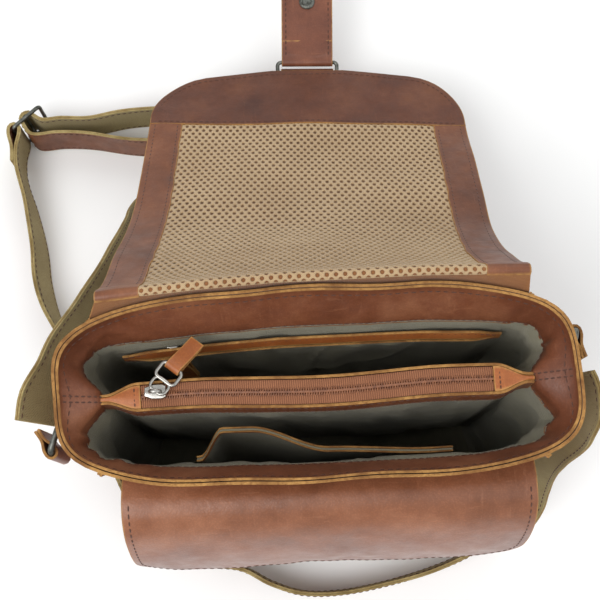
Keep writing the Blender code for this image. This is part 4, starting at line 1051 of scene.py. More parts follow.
def pull_tab(name, cad, path, width, body):
    """Folded leather pull with a stitch line across it."""
    path = through(path, 1.2)
    solid = ribbon(path, -0.7, 0.7, width, skins=(0, 1, 0), swell=0.3, step=1.3)
    count = len(path)
    index = round(count * 0.2)
    for level in (-0.7, 0.7):
        ahead = unit(path[index + 1, :3] - path[index - 1, :3])
        across = square_to(ahead, path[index, 3:])
        left = np.cross(across, ahead)
        line = path[index, :3] + left * level + across * np.linspace(-width / 2 + 1, width / 2 - 1,
                                                                    6)[:, None]
        stitches(solid, line, left * math.copysign(1.0, level), 2.2, 1.6, 0.3, 2, 0.3)
    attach(solid.put(name, ("orange", "raw", "thread"), (cad,)), body)


def divider_pull():
    """Slider, figure-eight ring and leather tab of the divider's zip."""
    x, y, z = -86.0, 0.0, DIVIDER_TOP + 1.8
    pull_slider("divider_zip_slider", "divider_slider", (x, y, z), (1, 0, 0), UP, "divider_slider")
    reach = unit((0.62, 0.78, 0.0))
    wide = unit(np.cross(reach, UP))
    pivot = np.array((x + 0.2, y, z + 2.7))
    solid = wire_ring(Solid(), pivot + reach * 3.8, wide, reach, 4.8, 3.8, 3.0, 0.85)
    wire_ring(solid, pivot + reach * 11.6, wide, reach, 6.2, 4.4, 2.4, 1.0)
    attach(solid.put("divider_zip_puller", ("silver",), ("divider_puller",)), "divider_puller")
    bar = pivot + reach * 16.0
    keys = fold_path(bar, square_to(wide, (0.10, 0.92, -0.38)), wide, 1.9, 0.85, 21.0)
    pull_tab("divider_zip_tab", "divider_pull_tab", keys, 8.4, "divider_pull_tab")


# ---- pockets inside the mouth ---------------------------------------------------------------
def back_wall(x, z, depth):
    """A point on the lining's back wall, depth in front of it."""
    a, _, n = wall(z, LEATHER + 2 * GAP + LINING_DEPTH + LINING)
    at = settle(inner_point("back", np.asarray(x) / (a * 0.5 ** (1.0 / n)), z,
                            LINING_DEPTH + LINING))
    at[..., 1] -= depth
    return at


def back_pocket():
    """Zip opening: two leather lips with raw edges that meet at its ends, over tape and coil."""
    half = BACK_ZIP_HALF + 6.0
    x = columns(half)
    end = smooth((half - np.abs(x)) / 16.0)
    threads = Solid()
    solid = Solid()
    for sign, reach in ((1.0, 9.5), (-1.0, 8.5)):
        share = edged(6.0, 1.2)[:, None]
        low = 2.6 * end[None]
        z = BACK_ZIP_Z + sign * (low + (reach * (0.45 + 0.55 * end[None]) - low) * share)
        stand = 1.6 * (1.0 - share) * end[None] + 0.3
        sheet(back_wall(x[None], z, stand + 3.6), back_wall(x[None], z, stand + 2.3),
              skins=(0, 1, 0), into=solid, swell=0.3)
        line = back_wall(x, BACK_ZIP_Z + sign * (reach - 2.0) * (0.45 + 0.55 * end), 4.0)
        stitches(threads, line, (0.0, -1.0, 0.0), 3.8)
    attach(solid.put("back_pocket_lips", ("orange", "raw"), ("back_pocket_welt",)), "bag")
    x = x[np.abs(x) < BACK_ZIP_HALF]
    share = np.linspace(-3.4, 3.4, 5)[:, None]
    tape = sheet(back_wall(x[None], BACK_ZIP_Z + share, 2.3),
                 back_wall(x[None], BACK_ZIP_Z + share, 1.7), skins=(0, 0, 0), swell=0.1)
    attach(tape.put("back_pocket_tape", ("tape",), ("back_pocket_zip_tape",)), "bag")
    spine = back_wall(x, BACK_ZIP_Z, 2.7)
    teeth = zip_teeth(Solid(), spine, np.array((0.0, -1.0, 0.0)), 1.35, 2.0)
    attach(teeth.put("back_pocket_coil", ("coil",), ("back_pocket_zip_chain",)), "bag")
    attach(threads.put("back_pocket_stitches", ("thread",)), "bag")


def back_pull():
    """Slider, wire loop and leather tab of the back pocket's zip."""
    x, y = -80.0, back_face_y()
    centre = (x, y, BACK_ZIP_Z)
    pull_slider("back_zip_slider", "back_pocket_slider", centre, UP, (0, -1, 0), "back_slider")
    pivot = np.array((x, y - 2.6, BACK_ZIP_Z - 1.0))
    down = unit((0.18, -0.35, -0.92))
    wide = square_to(down, (0.98, 0.0, 0.19))
    solid = wire_ring(Solid(), pivot + down * 6.5, wide, down, 6.2, 6.5, 1.8, 1.0, 0.8)
    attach(solid.put("back_zip_puller", ("silver",), ("back_pocket_puller",)), "back_puller")
    keys = fold_path(pivot + down * 13.0, square_to(wide, (0.25, -0.15, -0.95)), wide, 1.8, 0.85,
                     24.0)
    pull_tab("back_zip_tab", "back_pocket_pull_tab", keys, 9.2, "back_pull_tab")


def back_face_y():
    """Back of the zip slider's plate in the CAD frame."""
    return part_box("back_pocket_slider")[1][1] / MM


def slip_bulge(x):
    """How far the slip pocket's mouth stands off the lining: it gapes at its left end."""
    rise = smooth((x + 66.0) / 12.0)
    return (1.6 + 12.5 * rise * (1.0 - smooth((x + 38.0) / 44.0))
            + 3.0 * rise * (1.0 - smooth((x - 5.0) / 60.0)))


def slip_point(x, z, fall, depth):
    """A point of the slip pocket; fall is the share of its gape at this height."""
    a, _, n = wall(z, LEATHER + 2 * GAP)
    at = settle(inner_point("front", np.asarray(x) / (a * 0.5 ** (1.0 / n)), z,
                            LINING_DEPTH + LINING))
    at[..., 1] += slip_bulge(x) * fall + depth + 1.4
    return at


def slip_pocket():
    """Open pocket on the front wall; its bound edge stands out at the left."""
    top = HEIGHT - 41.0
    width = 142.0
    x = (-68.0 + edged(width, 2.4) * width)[None]
    z = rows_to(top, top - 112.0, 3.4)[:, None]
    fall = np.interp(top - z, (0.0, 30.0, 70.0, 110.0), (1.0, 0.85, 0.5, 0.1))
    solid = sheet(slip_point(x, z, fall, 1.4), slip_point(x, z, fall, 0.5), skins=(0, 0, 0),
                  swell=0.1)
    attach(solid.put("slip_pocket_canvas", ("lining",), ("slip_pocket",)), "bag")
    z = (top + 0.8 - np.array((0.0, 0.8, 3.4, 6.0, 8.8, 9.6)))[:, None]
    droop = 1.4 * hump(x, -40.0, 24.0) + 0.5 * ripple(stack(x, 0.0, 0.0), 40.0, 71)
    solid = Solid()
    for near, far in ((2.6, 1.6), (0.4, -0.5)):
        sheet(slip_point(x, z - droop, 1.0, near), slip_point(x, z - droop, 1.0, far),
              skins=(0, 1, 0), into=solid, swell=0.3)
    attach(solid.put("slip_pocket_edge", ("orange", "raw"), ("slip_pocket_trim",)), "bag")
    line = slip_point(x[0], top - 6.5 - droop[0], 1.0, 2.6)
    threads = stitches(Solid(), line, (0.0, 1.0, 0.0), 3.8)
    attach(threads.put("slip_pocket_stitches", ("thread",)), "bag")


# ---- front pocket ---------------------------------------------------------------------------
def pocket_y(x, z):
    """Front of the pocket: fuller in the middle, drawn in at the top and the bottom."""
    depth = sum(np.interp(z + d, (POCKET_BOTTOM, 40.0, 100.0, 160.0, POCKET_TOP),
                          (75.0, 82.0, 85.0, 81.0, 70.0)) for d in (-12.0, 0.0, 12.0)) / 3.0
    return -(depth + 1.6 * (1.0 - (x / POCKET_HALF) ** 2))


def pocket_surface(x, z, inset):
    """A point of the pocket's face, inset behind its front."""
    p = stack(x, pocket_y(x, z) + inset, z)
    calm = smooth((POCKET_HALF - np.abs(x)) / 20.0) * smooth((z - POCKET_BOTTOM) / 16.0)
    p[..., 1] += calm * (0.4 + 0.9 * ripple(p, 66.0, 81) + 0.3 * ripple(p, 24.0, 82))
    p[..., 0] += POCKET_X
    return p


def pocket_half(z):
    """Half width of the pocket's face, with its lower corners rounded."""
    below = np.clip(POCKET_BOTTOM + POCKET_CORNER - z, 0.0, POCKET_CORNER)
    return POCKET_HALF - POCKET_CORNER + np.sqrt(POCKET_CORNER ** 2 - below ** 2)


def pocket():
    """Front pocket: a face sewn to a band that stands on the body's front."""
    z = rows_to(POCKET_TOP, POCKET_BOTTOM, 3.0)
    z = np.unique(np.concatenate((z, POCKET_BOTTOM + np.array((0.2, 0.8, 1.8, 3.2, 5.0)))))[::-1]
    share = edged(2 * POCKET_HALF, 3.0) * 2.0 - 1.0
    x = share[None] * pocket_half(z)[:, None]
    solid = sheet(pocket_surface(x, z[:, None], 0.0), pocket_surface(x, z[:, None], LEATHER),
                  skins=(0, 1, 2), swell=0.3)
    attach(solid.put("pocket_front", ("leather", "raw", "suede"), ("pocket_face",)), "bag")
    outline = pocket_outline()
    grids = []
    for inset in (1.2, 1.2 + LEATHER):
        x, z = pocket_inset(outline, inset)
        back = -wall_y(x + POCKET_X, z) - 0.5
        front = pocket_y(x, z) + LEATHER + 0.5
        t = edged(36.0, 3.0)[:, None]
        grid = stack(x[None] + POCKET_X, back + (front - back) * t, z[None])
        way = unit(grid - np.array((POCKET_X, 0.0, 110.0)) * (1.0, 0.0, 1.0)) * (1.0, 0.0, 1.0)
        sink = 1.3 * np.sin(t * math.pi) * (0.8 + 0.4 * ripple(grid, 34.0, 83))
        grids.append(grid - way * sink[..., None])
    solid = sheet(*grids, skins=(0, 1, 2))
    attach(solid.put("pocket_band", ("leather", "raw", "suede"), ("pocket_gusset",)), "bag")
    x, z = pocket_inset(outline, 4.0)
    threads = stitches(Solid(), pocket_surface(x, z, 0.0), (0.0, -1.0, 0.0))
    x = np.linspace(-POCKET_HALF + 4.0, POCKET_HALF - 4.0, 60)
    stitches(threads, pocket_surface(x, POCKET_TOP - 4.0, 0.0), (0.0, -1.0, 0.0))
    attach(threads.put("pocket_stitches", ("thread",)), "bag")


def pocket_outline():
    """U of the pocket in x and z, from the top left round the bottom to the top right."""
    left = [(-POCKET_HALF, z) for z in np.linspace(POCKET_TOP, POCKET_BOTTOM + POCKET_CORNER, 54)]
    turn = [(-POCKET_HALF + POCKET_CORNER * (1.0 - math.cos(a)),
             POCKET_BOTTOM + POCKET_CORNER * (1.0 - math.sin(a)))
            for a in np.radians(np.linspace(0.0, 90.0, 14))[1:]]
    floor = [(x, POCKET_BOTTOM) for x in np.linspace(-POCKET_HALF + POCKET_CORNER, 0.0, 27)[1:]]
    half = left + turn + floor
    return np.array(half + [(-x, z) for x, z in reversed(half[:-1])])


def pocket_inset(outline, inset):
    """The outline moved in by a distance."""
    ahead = unit(np.gradient(outline, axis=0))
    inward = np.stack((-ahead[:, 1], ahead[:, 0]), axis=1)
    moved = outline + inward * inset
    return moved[:, 0], moved[:, 1]


class Line:
    """A curved profile in y and z: points, and directions square to it, at distances along it.

    A lead runs in before the start, where the profile turns from lead_angle to its first angle.
    """

    def __init__(self, start, knots, angles, length, lead=0.0, lead_angle=0.0):
        self.s = np.arange(-lead, length + 0.25, 0.25)
        middle = (self.s[:-1] + self.s[1:]) / 2
        soft = sum(np.interp(middle + d, knots, angles) for d in (-6.0, -3.0, 0.0, 3.0, 6.0)) / 5
        first = np.interp(0.0, middle, soft)
        if lead:
            soft = np.where(middle < 0.0, first + (lead_angle - first) * -middle / lead, soft)
        turn = np.radians(soft)
        self.y = np.concatenate(((0.0,), np.cumsum(np.cos(turn) * 0.25)))
        self.z = np.concatenate(((0.0,), np.cumsum(np.sin(turn) * 0.25)))
        self.y += start[0] - np.interp(0.0, self.s, self.y)
        self.z += start[1] - np.interp(0.0, self.s, self.z)
        self.turn = np.interp(self.s, middle, turn)

    def at(self, x, s, depth):
        y, z, turn = (np.interp(s, self.s, v) for v in (self.y, self.z, self.turn))
        return stack(x, y - np.sin(turn) * depth, z + np.cos(turn) * depth)


POCKET_FLAP_LINE = Line(POCKET_BEND, (0.0, 10.0, 22.0, 45.0, 82.0),
                        (203.0, 225.0, 245.0, 256.0, 265.0), 82.0)
FLAP_LINE = Line(FLAP_AXIS, (0.0, 20.0, 60.0, 105.0, 130.0, 170.0, 215.0, 240.0, 303.0),
                 (-80.0, -68.0, -55.0, -51.0, -41.5, -37.5, -33.0, -28.0, -22.0), 306.0,
                 FLAP_LEAD, 78.0)


def pocket_flap_path():
    """Profile of the pocket flap: from the body's front, over the bend and down."""
    root_y = -wall_y(0.0, HEIGHT - 26.0) - 0.4
    root = [(root_y, HEIGHT - 26.0 - 0.75), (-52.0, HEIGHT - 23.35), (-57.0, HEIGHT - 21.95)]
    bend = [POCKET_FLAP_LINE.at(0.0, s, 0.75)[1:] for s in np.arange(2.0, 77.0, 6.0)]
    end = POCKET_FLAP_LINE.at(0.0, POCKET_FLAP_LENGTH, 0.75)[1:]
    keys = root + [tuple(b) for b in bend] + [tuple(end)]
    return through([(y, z, 0.0) for y, z in keys], 1.0)[:, :2]


def pocket_flap_half(run, total):
    """Half width of the pocket flap, with its far corners rounded."""
    past = np.clip(run - (total - POCKET_FLAP_CORNER), 0.0, POCKET_FLAP_CORNER)
    return POCKET_FLAP_HALF - POCKET_FLAP_CORNER + np.sqrt(POCKET_FLAP_CORNER ** 2 - past ** 2)


def pocket_flap_surface(share, run, path, level):
    """share runs across the flap and run along its profile; level is above its middle layer."""
    total = lengths_along(path)[-1]
    y, z = (np.interp(run, lengths_along(path), path[:, i]) for i in (0, 1))
    ahead = unit(np.gradient(path, axis=0))
    ny, nz = (np.interp(run, lengths_along(path), v) for v in (ahead[:, 1], -ahead[:, 0]))
    x = share * pocket_flap_half(run, total)
    near_body = smooth((22.0 - run) / 22.0)
    curve = (wall_y(0.0, HEIGHT - 26.0) - wall_y(x + POCKET_X, HEIGHT - 26.0)) * near_body
    p = stack(x + POCKET_X, y + curve, z + 0.0 * x)
    loose = smooth((run - 20.0) / 50.0)
    wave = loose * (1.0 * ripple(p * (1.0, 0.0, 0.6), 58.0, 91) + 0.3 * ripple(p, 22.0, 92))
    out = np.stack(np.broadcast_arrays(0.0 * x, ny, nz), axis=-1)
    return p + out * (level + wave)[..., None], out


def pocket_flap():
    """The front pocket's cover and its stitches, bent over the pocket's hinge."""
    path = pocket_flap_path()
    total = lengths_along(path)[-1]
    run = edged(total, 1.9) * total
    run = np.unique(np.concatenate((run, total - np.array((0.2, 1.6, 3.0)))))[:, None]
    share = (edged(2 * POCKET_FLAP_HALF, 2.6) * 2.0 - 1.0)[None]
    front, out = pocket_flap_surface(share, run, path, 0.75)
    back, _ = pocket_flap_surface(share, run, path, -0.75)
    solid = sheet(front, back, skins=(0, 1, 2), swell=0.3)
    cover = solid.put("pocket_cover", ("cover", "raw", "suede"), ("pocket_flap", "pocket_flap_root"))
    threads = Solid()
    inset = 3.6
    down = np.linspace(14.0, total - POCKET_FLAP_CORNER, 36)
    turn = np.radians(np.linspace(0.0, 90.0, 16))[1:]
    corner = POCKET_FLAP_CORNER - inset
    runs = np.concatenate((down, total - POCKET_FLAP_CORNER + corner * np.sin(turn)))
    halves = np.concatenate((np.full(36, POCKET_FLAP_HALF - inset),
                             POCKET_FLAP_HALF - POCKET_FLAP_CORNER + corner * np.cos(turn)))
    runs = np.concatenate((runs, np.full(40, total - inset), runs[::-1]))
    across = np.concatenate((-halves, np.linspace(-1.0, 1.0, 42)[1:-1]
                             * (POCKET_FLAP_HALF - POCKET_FLAP_CORNER), halves[::-1]))
    share = across / pocket_flap_half(runs, total)
    for level in (0.75, -0.75):
        line, out = pocket_flap_surface(share, runs, path, level)
        stitches(threads, line, out * math.copysign(1.0, level))
    threads = threads.put("pocket_cover_stitches", ("thread",))
    for piece in (cover, threads):
        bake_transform(piece)


# ---- main flap ------------------------------------------------------------------------------
def flap_half(s):
    """Rounded far corners that run up to a shallow point in the middle."""
    past = np.asarray(s, float) - (FLAP_LENGTH - FLAP_CORNER - 6.0)
    bend = FLAP_CORNER * 0.96
    side = FLAP_HALF - FLAP_CORNER + np.sqrt(FLAP_CORNER ** 2 - np.clip(past, 0.0, bend) ** 2)
    tail = np.clip((past - bend) / (FLAP_CORNER * 0.04 + 6.0), 0.0, 1.0)
    return side - (FLAP_HALF - FLAP_CORNER * 0.72 - 27.0) * tail


def flap_point(x, s, depth):
    """A point of the flap: soft waves and a slew shared by all its layers."""
    p = FLAP_LINE.at(x, s, depth)
    loose = smooth((s - 16.0) / 40.0) * smooth((FLAP_LENGTH + 14.0 - s) / 40.0)
    flat = stack(x, s, 0.0)
    wave = 1.5 * ripple(flat, 120.0, 101) + 0.45 * ripple(flat, 45.0, 102)
    edge = smooth((np.abs(flat[..., 0]) - 70.0) / 45.0)
    wave = loose * (wave + edge * 1.6 * np.sin(flat[..., 1] / 26.0 + np.sign(flat[..., 0])))
    lift = FLAP_LINE.at(x, s, depth + 1.0) - p
    p = p + lift * wave[..., None]
    near = 1.0 - smooth(flat[..., 1] / 60.0)
    p[..., 1] += near * back_shift(flat[..., 0])
    turn = np.radians(FLAP_YAW) * smooth(flat[..., 1] / 150.0)
    x, y = p[..., 0], p[..., 1] - FLAP_AXIS[0]
    p[..., 0], p[..., 1] = (x * np.cos(turn) - y * np.sin(turn),
                            x * np.sin(turn) + y * np.cos(turn) + FLAP_AXIS[0])
    return p


def hinge_blend(piece):
    """Bakes the transform of a piece of the fold into its mesh."""
    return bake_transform(piece)


def crease_blend(piece):
    """Bakes the transform of a piece of the flap into its mesh."""
    at = FLAP_LINE.at(0.0, FLAP_TOP_LENGTH, 0.0)
    way = unit(FLAP_LINE.at(0.0, FLAP_TOP_LENGTH + 5.0, 0.0)
               - FLAP_LINE.at(0.0, FLAP_TOP_LENGTH - 5.0, 0.0))
    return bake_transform(piece)


MESH_S = np.arange(-FLAP_LEAD + 0.4, FLAP_LENGTH, 0.25)
MESH_RUN = lengths_along(FLAP_LINE.at(0.0, MESH_S, 3.0))
FLAP_FINE_END = np.array((0.35, 1.2, 2.4, 3.8, 5.4, 7.4))


def flap_leather():
    """The outer leather of the main flap past the fold."""
    s = FLAP_LAP + edged(FLAP_LENGTH - FLAP_LAP, 3.0) * (FLAP_LENGTH - FLAP_LAP)
    s = np.unique(np.concatenate((s, FLAP_LENGTH - FLAP_FINE_END)))[:, None]
    share = (edged(2 * FLAP_HALF, 3.0) * 2.0 - 1.0)[None]
    x = share * flap_half(s)
    solid = sheet(flap_point(x, s, 0.0), flap_point(x, s, LEATHER), skins=(0, 1, 2), swell=0.3)
    crease_blend(solid.put("flap_leather", ("leather", "raw", "suede"),
                           ("flap_leather_top", "flap_leather_front")))


def flap_fold():
    """The flap's leather from the seam on the back panel, over the fold, to the flap."""
    x = (edged(2 * FLAP_HALF, 3.0) * 2.0 - 1.0) * FLAP_HALF
    rows = ((203.0, 0.5), (209.0, 0.5), (215.0, 0.5), (222.0, 0.6), (229.0, 0.8), (236.0, 1.2),
            (240.0, 1.7), (242.5, 2.1))
    past = (-3.25, -2.6, -1.95, -1.3, -0.65, 0.0, 1.5, 3.5, 6.0, 9.0, 13.0, 17.0, FLAP_LAP)
    grids = []
    for depth in (0.0, LEATHER):
        grid = [root_point(x, z, off + LEATHER - depth) for z, off in rows]
        grid += [flap_point(x, s, depth) for s in past]
        grids.append(np.array(grid))
    solid = sheet(*grids, skins=(0, 1, 2), swell=0.2)
    hinge_blend(solid.put("flap_fold", ("leather", "raw", "suede"), ("flap_root",)))
    threads = Solid()
    line = np.linspace(-FLAP_HALF + 4.0, FLAP_HALF - 4.0, 80)
    for z in (207.0, 212.0):
        stitches(threads, root_point(line, z, 0.5 + LEATHER), (0.0, 1.0, 0.0))
    for sign in (-1.0, 1.0):
        z = np.linspace(214.0, 234.0, 9)
        off = np.interp(z, (215.0, 222.0, 229.0, 236.0), (0.5, 0.6, 0.8, 1.2))
        stitches(threads, root_point(sign * (FLAP_HALF - 4.0), z, off + LEATHER), (0.0, 1.0, 0.0))
    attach(threads.put("flap_fold_stitches", ("thread",)), "bag")


def root_point(x, z, off):
    """A point behind the back panel."""
    return settle(stack(x, wall_y(x, z), z)) + (0.0, 1.0, 0.0) * np.asarray(off)[..., None]


def flap_borders():
    """Leather bands round the mesh; the end band laps over the side bands."""
    seam = FLAP_LENGTH - FLAP_END_BAND
    inner = FLAP_HALF - FLAP_BAND
    root, run = Solid(), Solid()
    for sign in (-1.0, 1.0):
        flap_band(root, -FLAP_LEAD, FLAP_ROOT, sign, 0.9)
        flap_band(run, FLAP_ROOT, seam + 3.0, sign, 3.0)
    hinge_blend(root.put("flap_side_band_roots", ("dusky", "raw")))
    crease_blend(run.put("flap_side_bands", ("dusky", "raw"), (
        "flap_border_top_left", "flap_border_top_right", "flap_border_front")))
    s = seam + edged(FLAP_END_BAND, 3.0) * FLAP_END_BAND
    s = np.unique(np.concatenate((s, FLAP_LENGTH - FLAP_FINE_END)))[:, None]
    x = (edged(2 * FLAP_HALF, 3.0) * 2.0 - 1.0)[None] * flap_half(s)
    rise = 0.35 * smooth((FLAP_LENGTH - 25.0 - s) / 30.0)
    solid = sheet(flap_point(x, s, 3.15 + rise), flap_point(x, s, 1.75 + rise), skins=(0, 1, 0),
                  swell=0.3)
    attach(solid.put("flap_end_band", ("deep", "raw")), "flap_front")
    threads = Solid()
    outline = flap_outline(4.0)
    for depth, level in ((3.15, 1.0), (0.0, -1.0)):
        line = flap_point(outline[:, 0], outline[:, 1], depth)
        stitches(threads, line, flap_point(outline[:, 0], outline[:, 1], depth + level) - line)
    for sign in (-1.0, 1.0):
        s = np.linspace(FLAP_ROOT + 2.0, seam - 1.0, 100)
        for depth, level in ((3.1, 1.0), (0.0, -1.0)):
            line = flap_point(sign * (inner + 2.6), s, depth)
            stitches(threads, line, flap_point(sign * (inner + 2.6), s, depth + level) - line)
    x = np.linspace(-FLAP_HALF + 5.0, FLAP_HALF - 5.0, 90)
    for depth, level in ((3.5, 1.0), (0.0, -1.0)):
        line = flap_point(x, seam + 2.6, depth)
        stitches(threads, line, flap_point(x, seam + 2.6, depth + level) - line)
    crease_blend(threads.put("flap_stitches", ("thread",)))


def flap_band(solid, start, end, sign, step):
    """One side band, with a raw inner edge that lies on the mesh."""
    s = (start + edged(end - start, step) * (end - start))[:, None]
    share = edged(FLAP_BAND, 2.2)[None]
    inner = FLAP_HALF - FLAP_BAND + 0.5 * ripple(stack(s, 0.0, sign), 26.0, 104)
    x = sign * (inner + (FLAP_HALF - inner) * share)
    crown = 0.35 * np.sin(share * math.pi)
    thin = 1.0 - 0.35 * smooth((6.0 - s) / 8.0)
    return sheet(flap_point(x, s, (3.1 + crown) * thin), flap_point(x, s, 1.8 * thin), skins=(0, 1, 0),
                 into=solid, swell=0.3)


def flap_outline(inset):
    """x and s of a line inset from the flap's edge, from its left root round to its right."""
    s = np.concatenate((np.linspace(12.0, FLAP_LENGTH - 56.0, 90),
                        FLAP_LENGTH - np.linspace(55.0, 8.0, 40), FLAP_LENGTH - FLAP_FINE_END[::-1]))
    left = np.stack((-flap_half(s), s), axis=1)
    edge = np.concatenate((left, left[::-1] * (-1.0, 1.0)))
    edge = sample(np.concatenate((edge, np.zeros((len(edge), 1))), axis=1),
                  np.arange(0.0, 1400.0, 3.0))[:, :2]
    edge = edge[np.concatenate(((True,), np.linalg.norm(np.diff(edge, axis=0), axis=1) > 1e-6))]
    ahead = unit(np.gradient(edge, axis=0))
    return edge + np.stack((ahead[:, 1], -ahead[:, 0]), axis=1) * inset


MESH_PITCH = 4.9
MESH_ROW = 4.1
MESH_SIDES = 12
MESH_RINGS = ((0.0, 0.0), (0.52, -0.02), (0.40, -0.28), (0.36, -1.0))   # share to the hole, fall


def mesh_cells(rows, reach):
    """Rounded holes in staggered rows: one ring of faces round each hole."""
    inner = FLAP_HALF - FLAP_BAND
    angle = (np.arange(MESH_SIDES) - 1) * 2.0 * math.pi / MESH_SIDES
    sector = math.pi / 3.0
    turn = np.arange(MESH_SIDES) * 2.0 * math.pi / MESH_SIDES
    corner = 1.0 / np.cos(turn % sector - sector / 2.0)
    round_way = np.stack((np.cos(angle), np.sin(angle)), axis=1)
    hexagon = round_way * corner[:, None] * (MESH_PITCH / 2.0, 2.0 / math.sqrt(3.0) / 2.0)
    hole = round_way * (1.18, 0.47)
    places = np.array([(x, row) for row in rows for x in
                       (np.arange(-19, 20) + (row % 2) / 2.0) * MESH_PITCH if abs(x) < inner + 1.5])
    levels, flat = [], []
    for number, (share, fall) in enumerate(MESH_RINGS):
        shape = hexagon if number == 0 else hole * (1.3 - 0.11 * number)
        spot = places[:, None] + shape[None]
        s = np.interp(spot[..., 1] * MESH_ROW, MESH_RUN, MESH_S)
        edge = (smooth((inner + 3.0 - np.abs(spot[..., 0])) / 7.0) * smooth((reach + 1.0 - s) / 6.0))
        thin = 1.0 - 0.3 * smooth((6.0 - s) / 8.0)
        depth = (2.05 + 1.15 * edge + fall * (0.4 + 0.6 * edge)) * thin
        levels.append(flap_point(spot[..., 0], s, depth))
        flat.append(spot * (1.0, MESH_ROW))
    points = np.stack(levels, axis=1)
    shift = (np.arange(len(places)) * len(MESH_RINGS) * MESH_SIDES)[:, None, None]
    faces = (grid_faces(len(MESH_RINGS), MESH_SIDES, True)[None] + shift).reshape(-1, 4)
    maps = np.stack(flat, axis=1).reshape(-1, 2)
    return Solid().add(points, faces, 0, maps[faces])


def flap_mesh():
    """Spacer mesh over a darker backing, from the fold to the end band."""
    last = FLAP_LENGTH - FLAP_END_BAND + 2.5
    total = round(np.interp(last, MESH_S, MESH_RUN) / MESH_ROW)
    split = round(np.interp(FLAP_ROOT, MESH_S, MESH_RUN) / MESH_ROW)
    hinge_blend(mesh_cells(range(split), last).put("flap_mesh_root", ("mesh",), sharp=75.0))
    mesh = mesh_cells(range(split, total), last).put(
        "flap_mesh", ("mesh",), ("flap_mesh_top", "flap_mesh_front"), sharp=75.0)
    crease_blend(mesh)
    share = (edged(2.0 * (FLAP_HALF - FLAP_BAND), 4.0) * 2.0 - 1.0)[None]
    x = share * (FLAP_HALF - FLAP_BAND + 2.0)
    for name, start, end, step in (("flap_mesh_root_backing", -FLAP_LEAD + 0.3, FLAP_ROOT, 0.9),
                                   ("flap_mesh_backing", FLAP_ROOT, last, 4.0)):
        s = (start + edged(end - start, step) * (end - start))[:, None]
        thin = 1.0 - 0.3 * smooth((6.0 - s) / 8.0)
        solid = sheet(flap_point(x, s, 1.95 * thin), flap_point(x, s, 1.6 * thin), skins=(0, 0, 0),
                      swell=0.05)
        piece = solid.put(name, ("backing",))
        (hinge_blend if start < 0.0 else crease_blend)(piece)


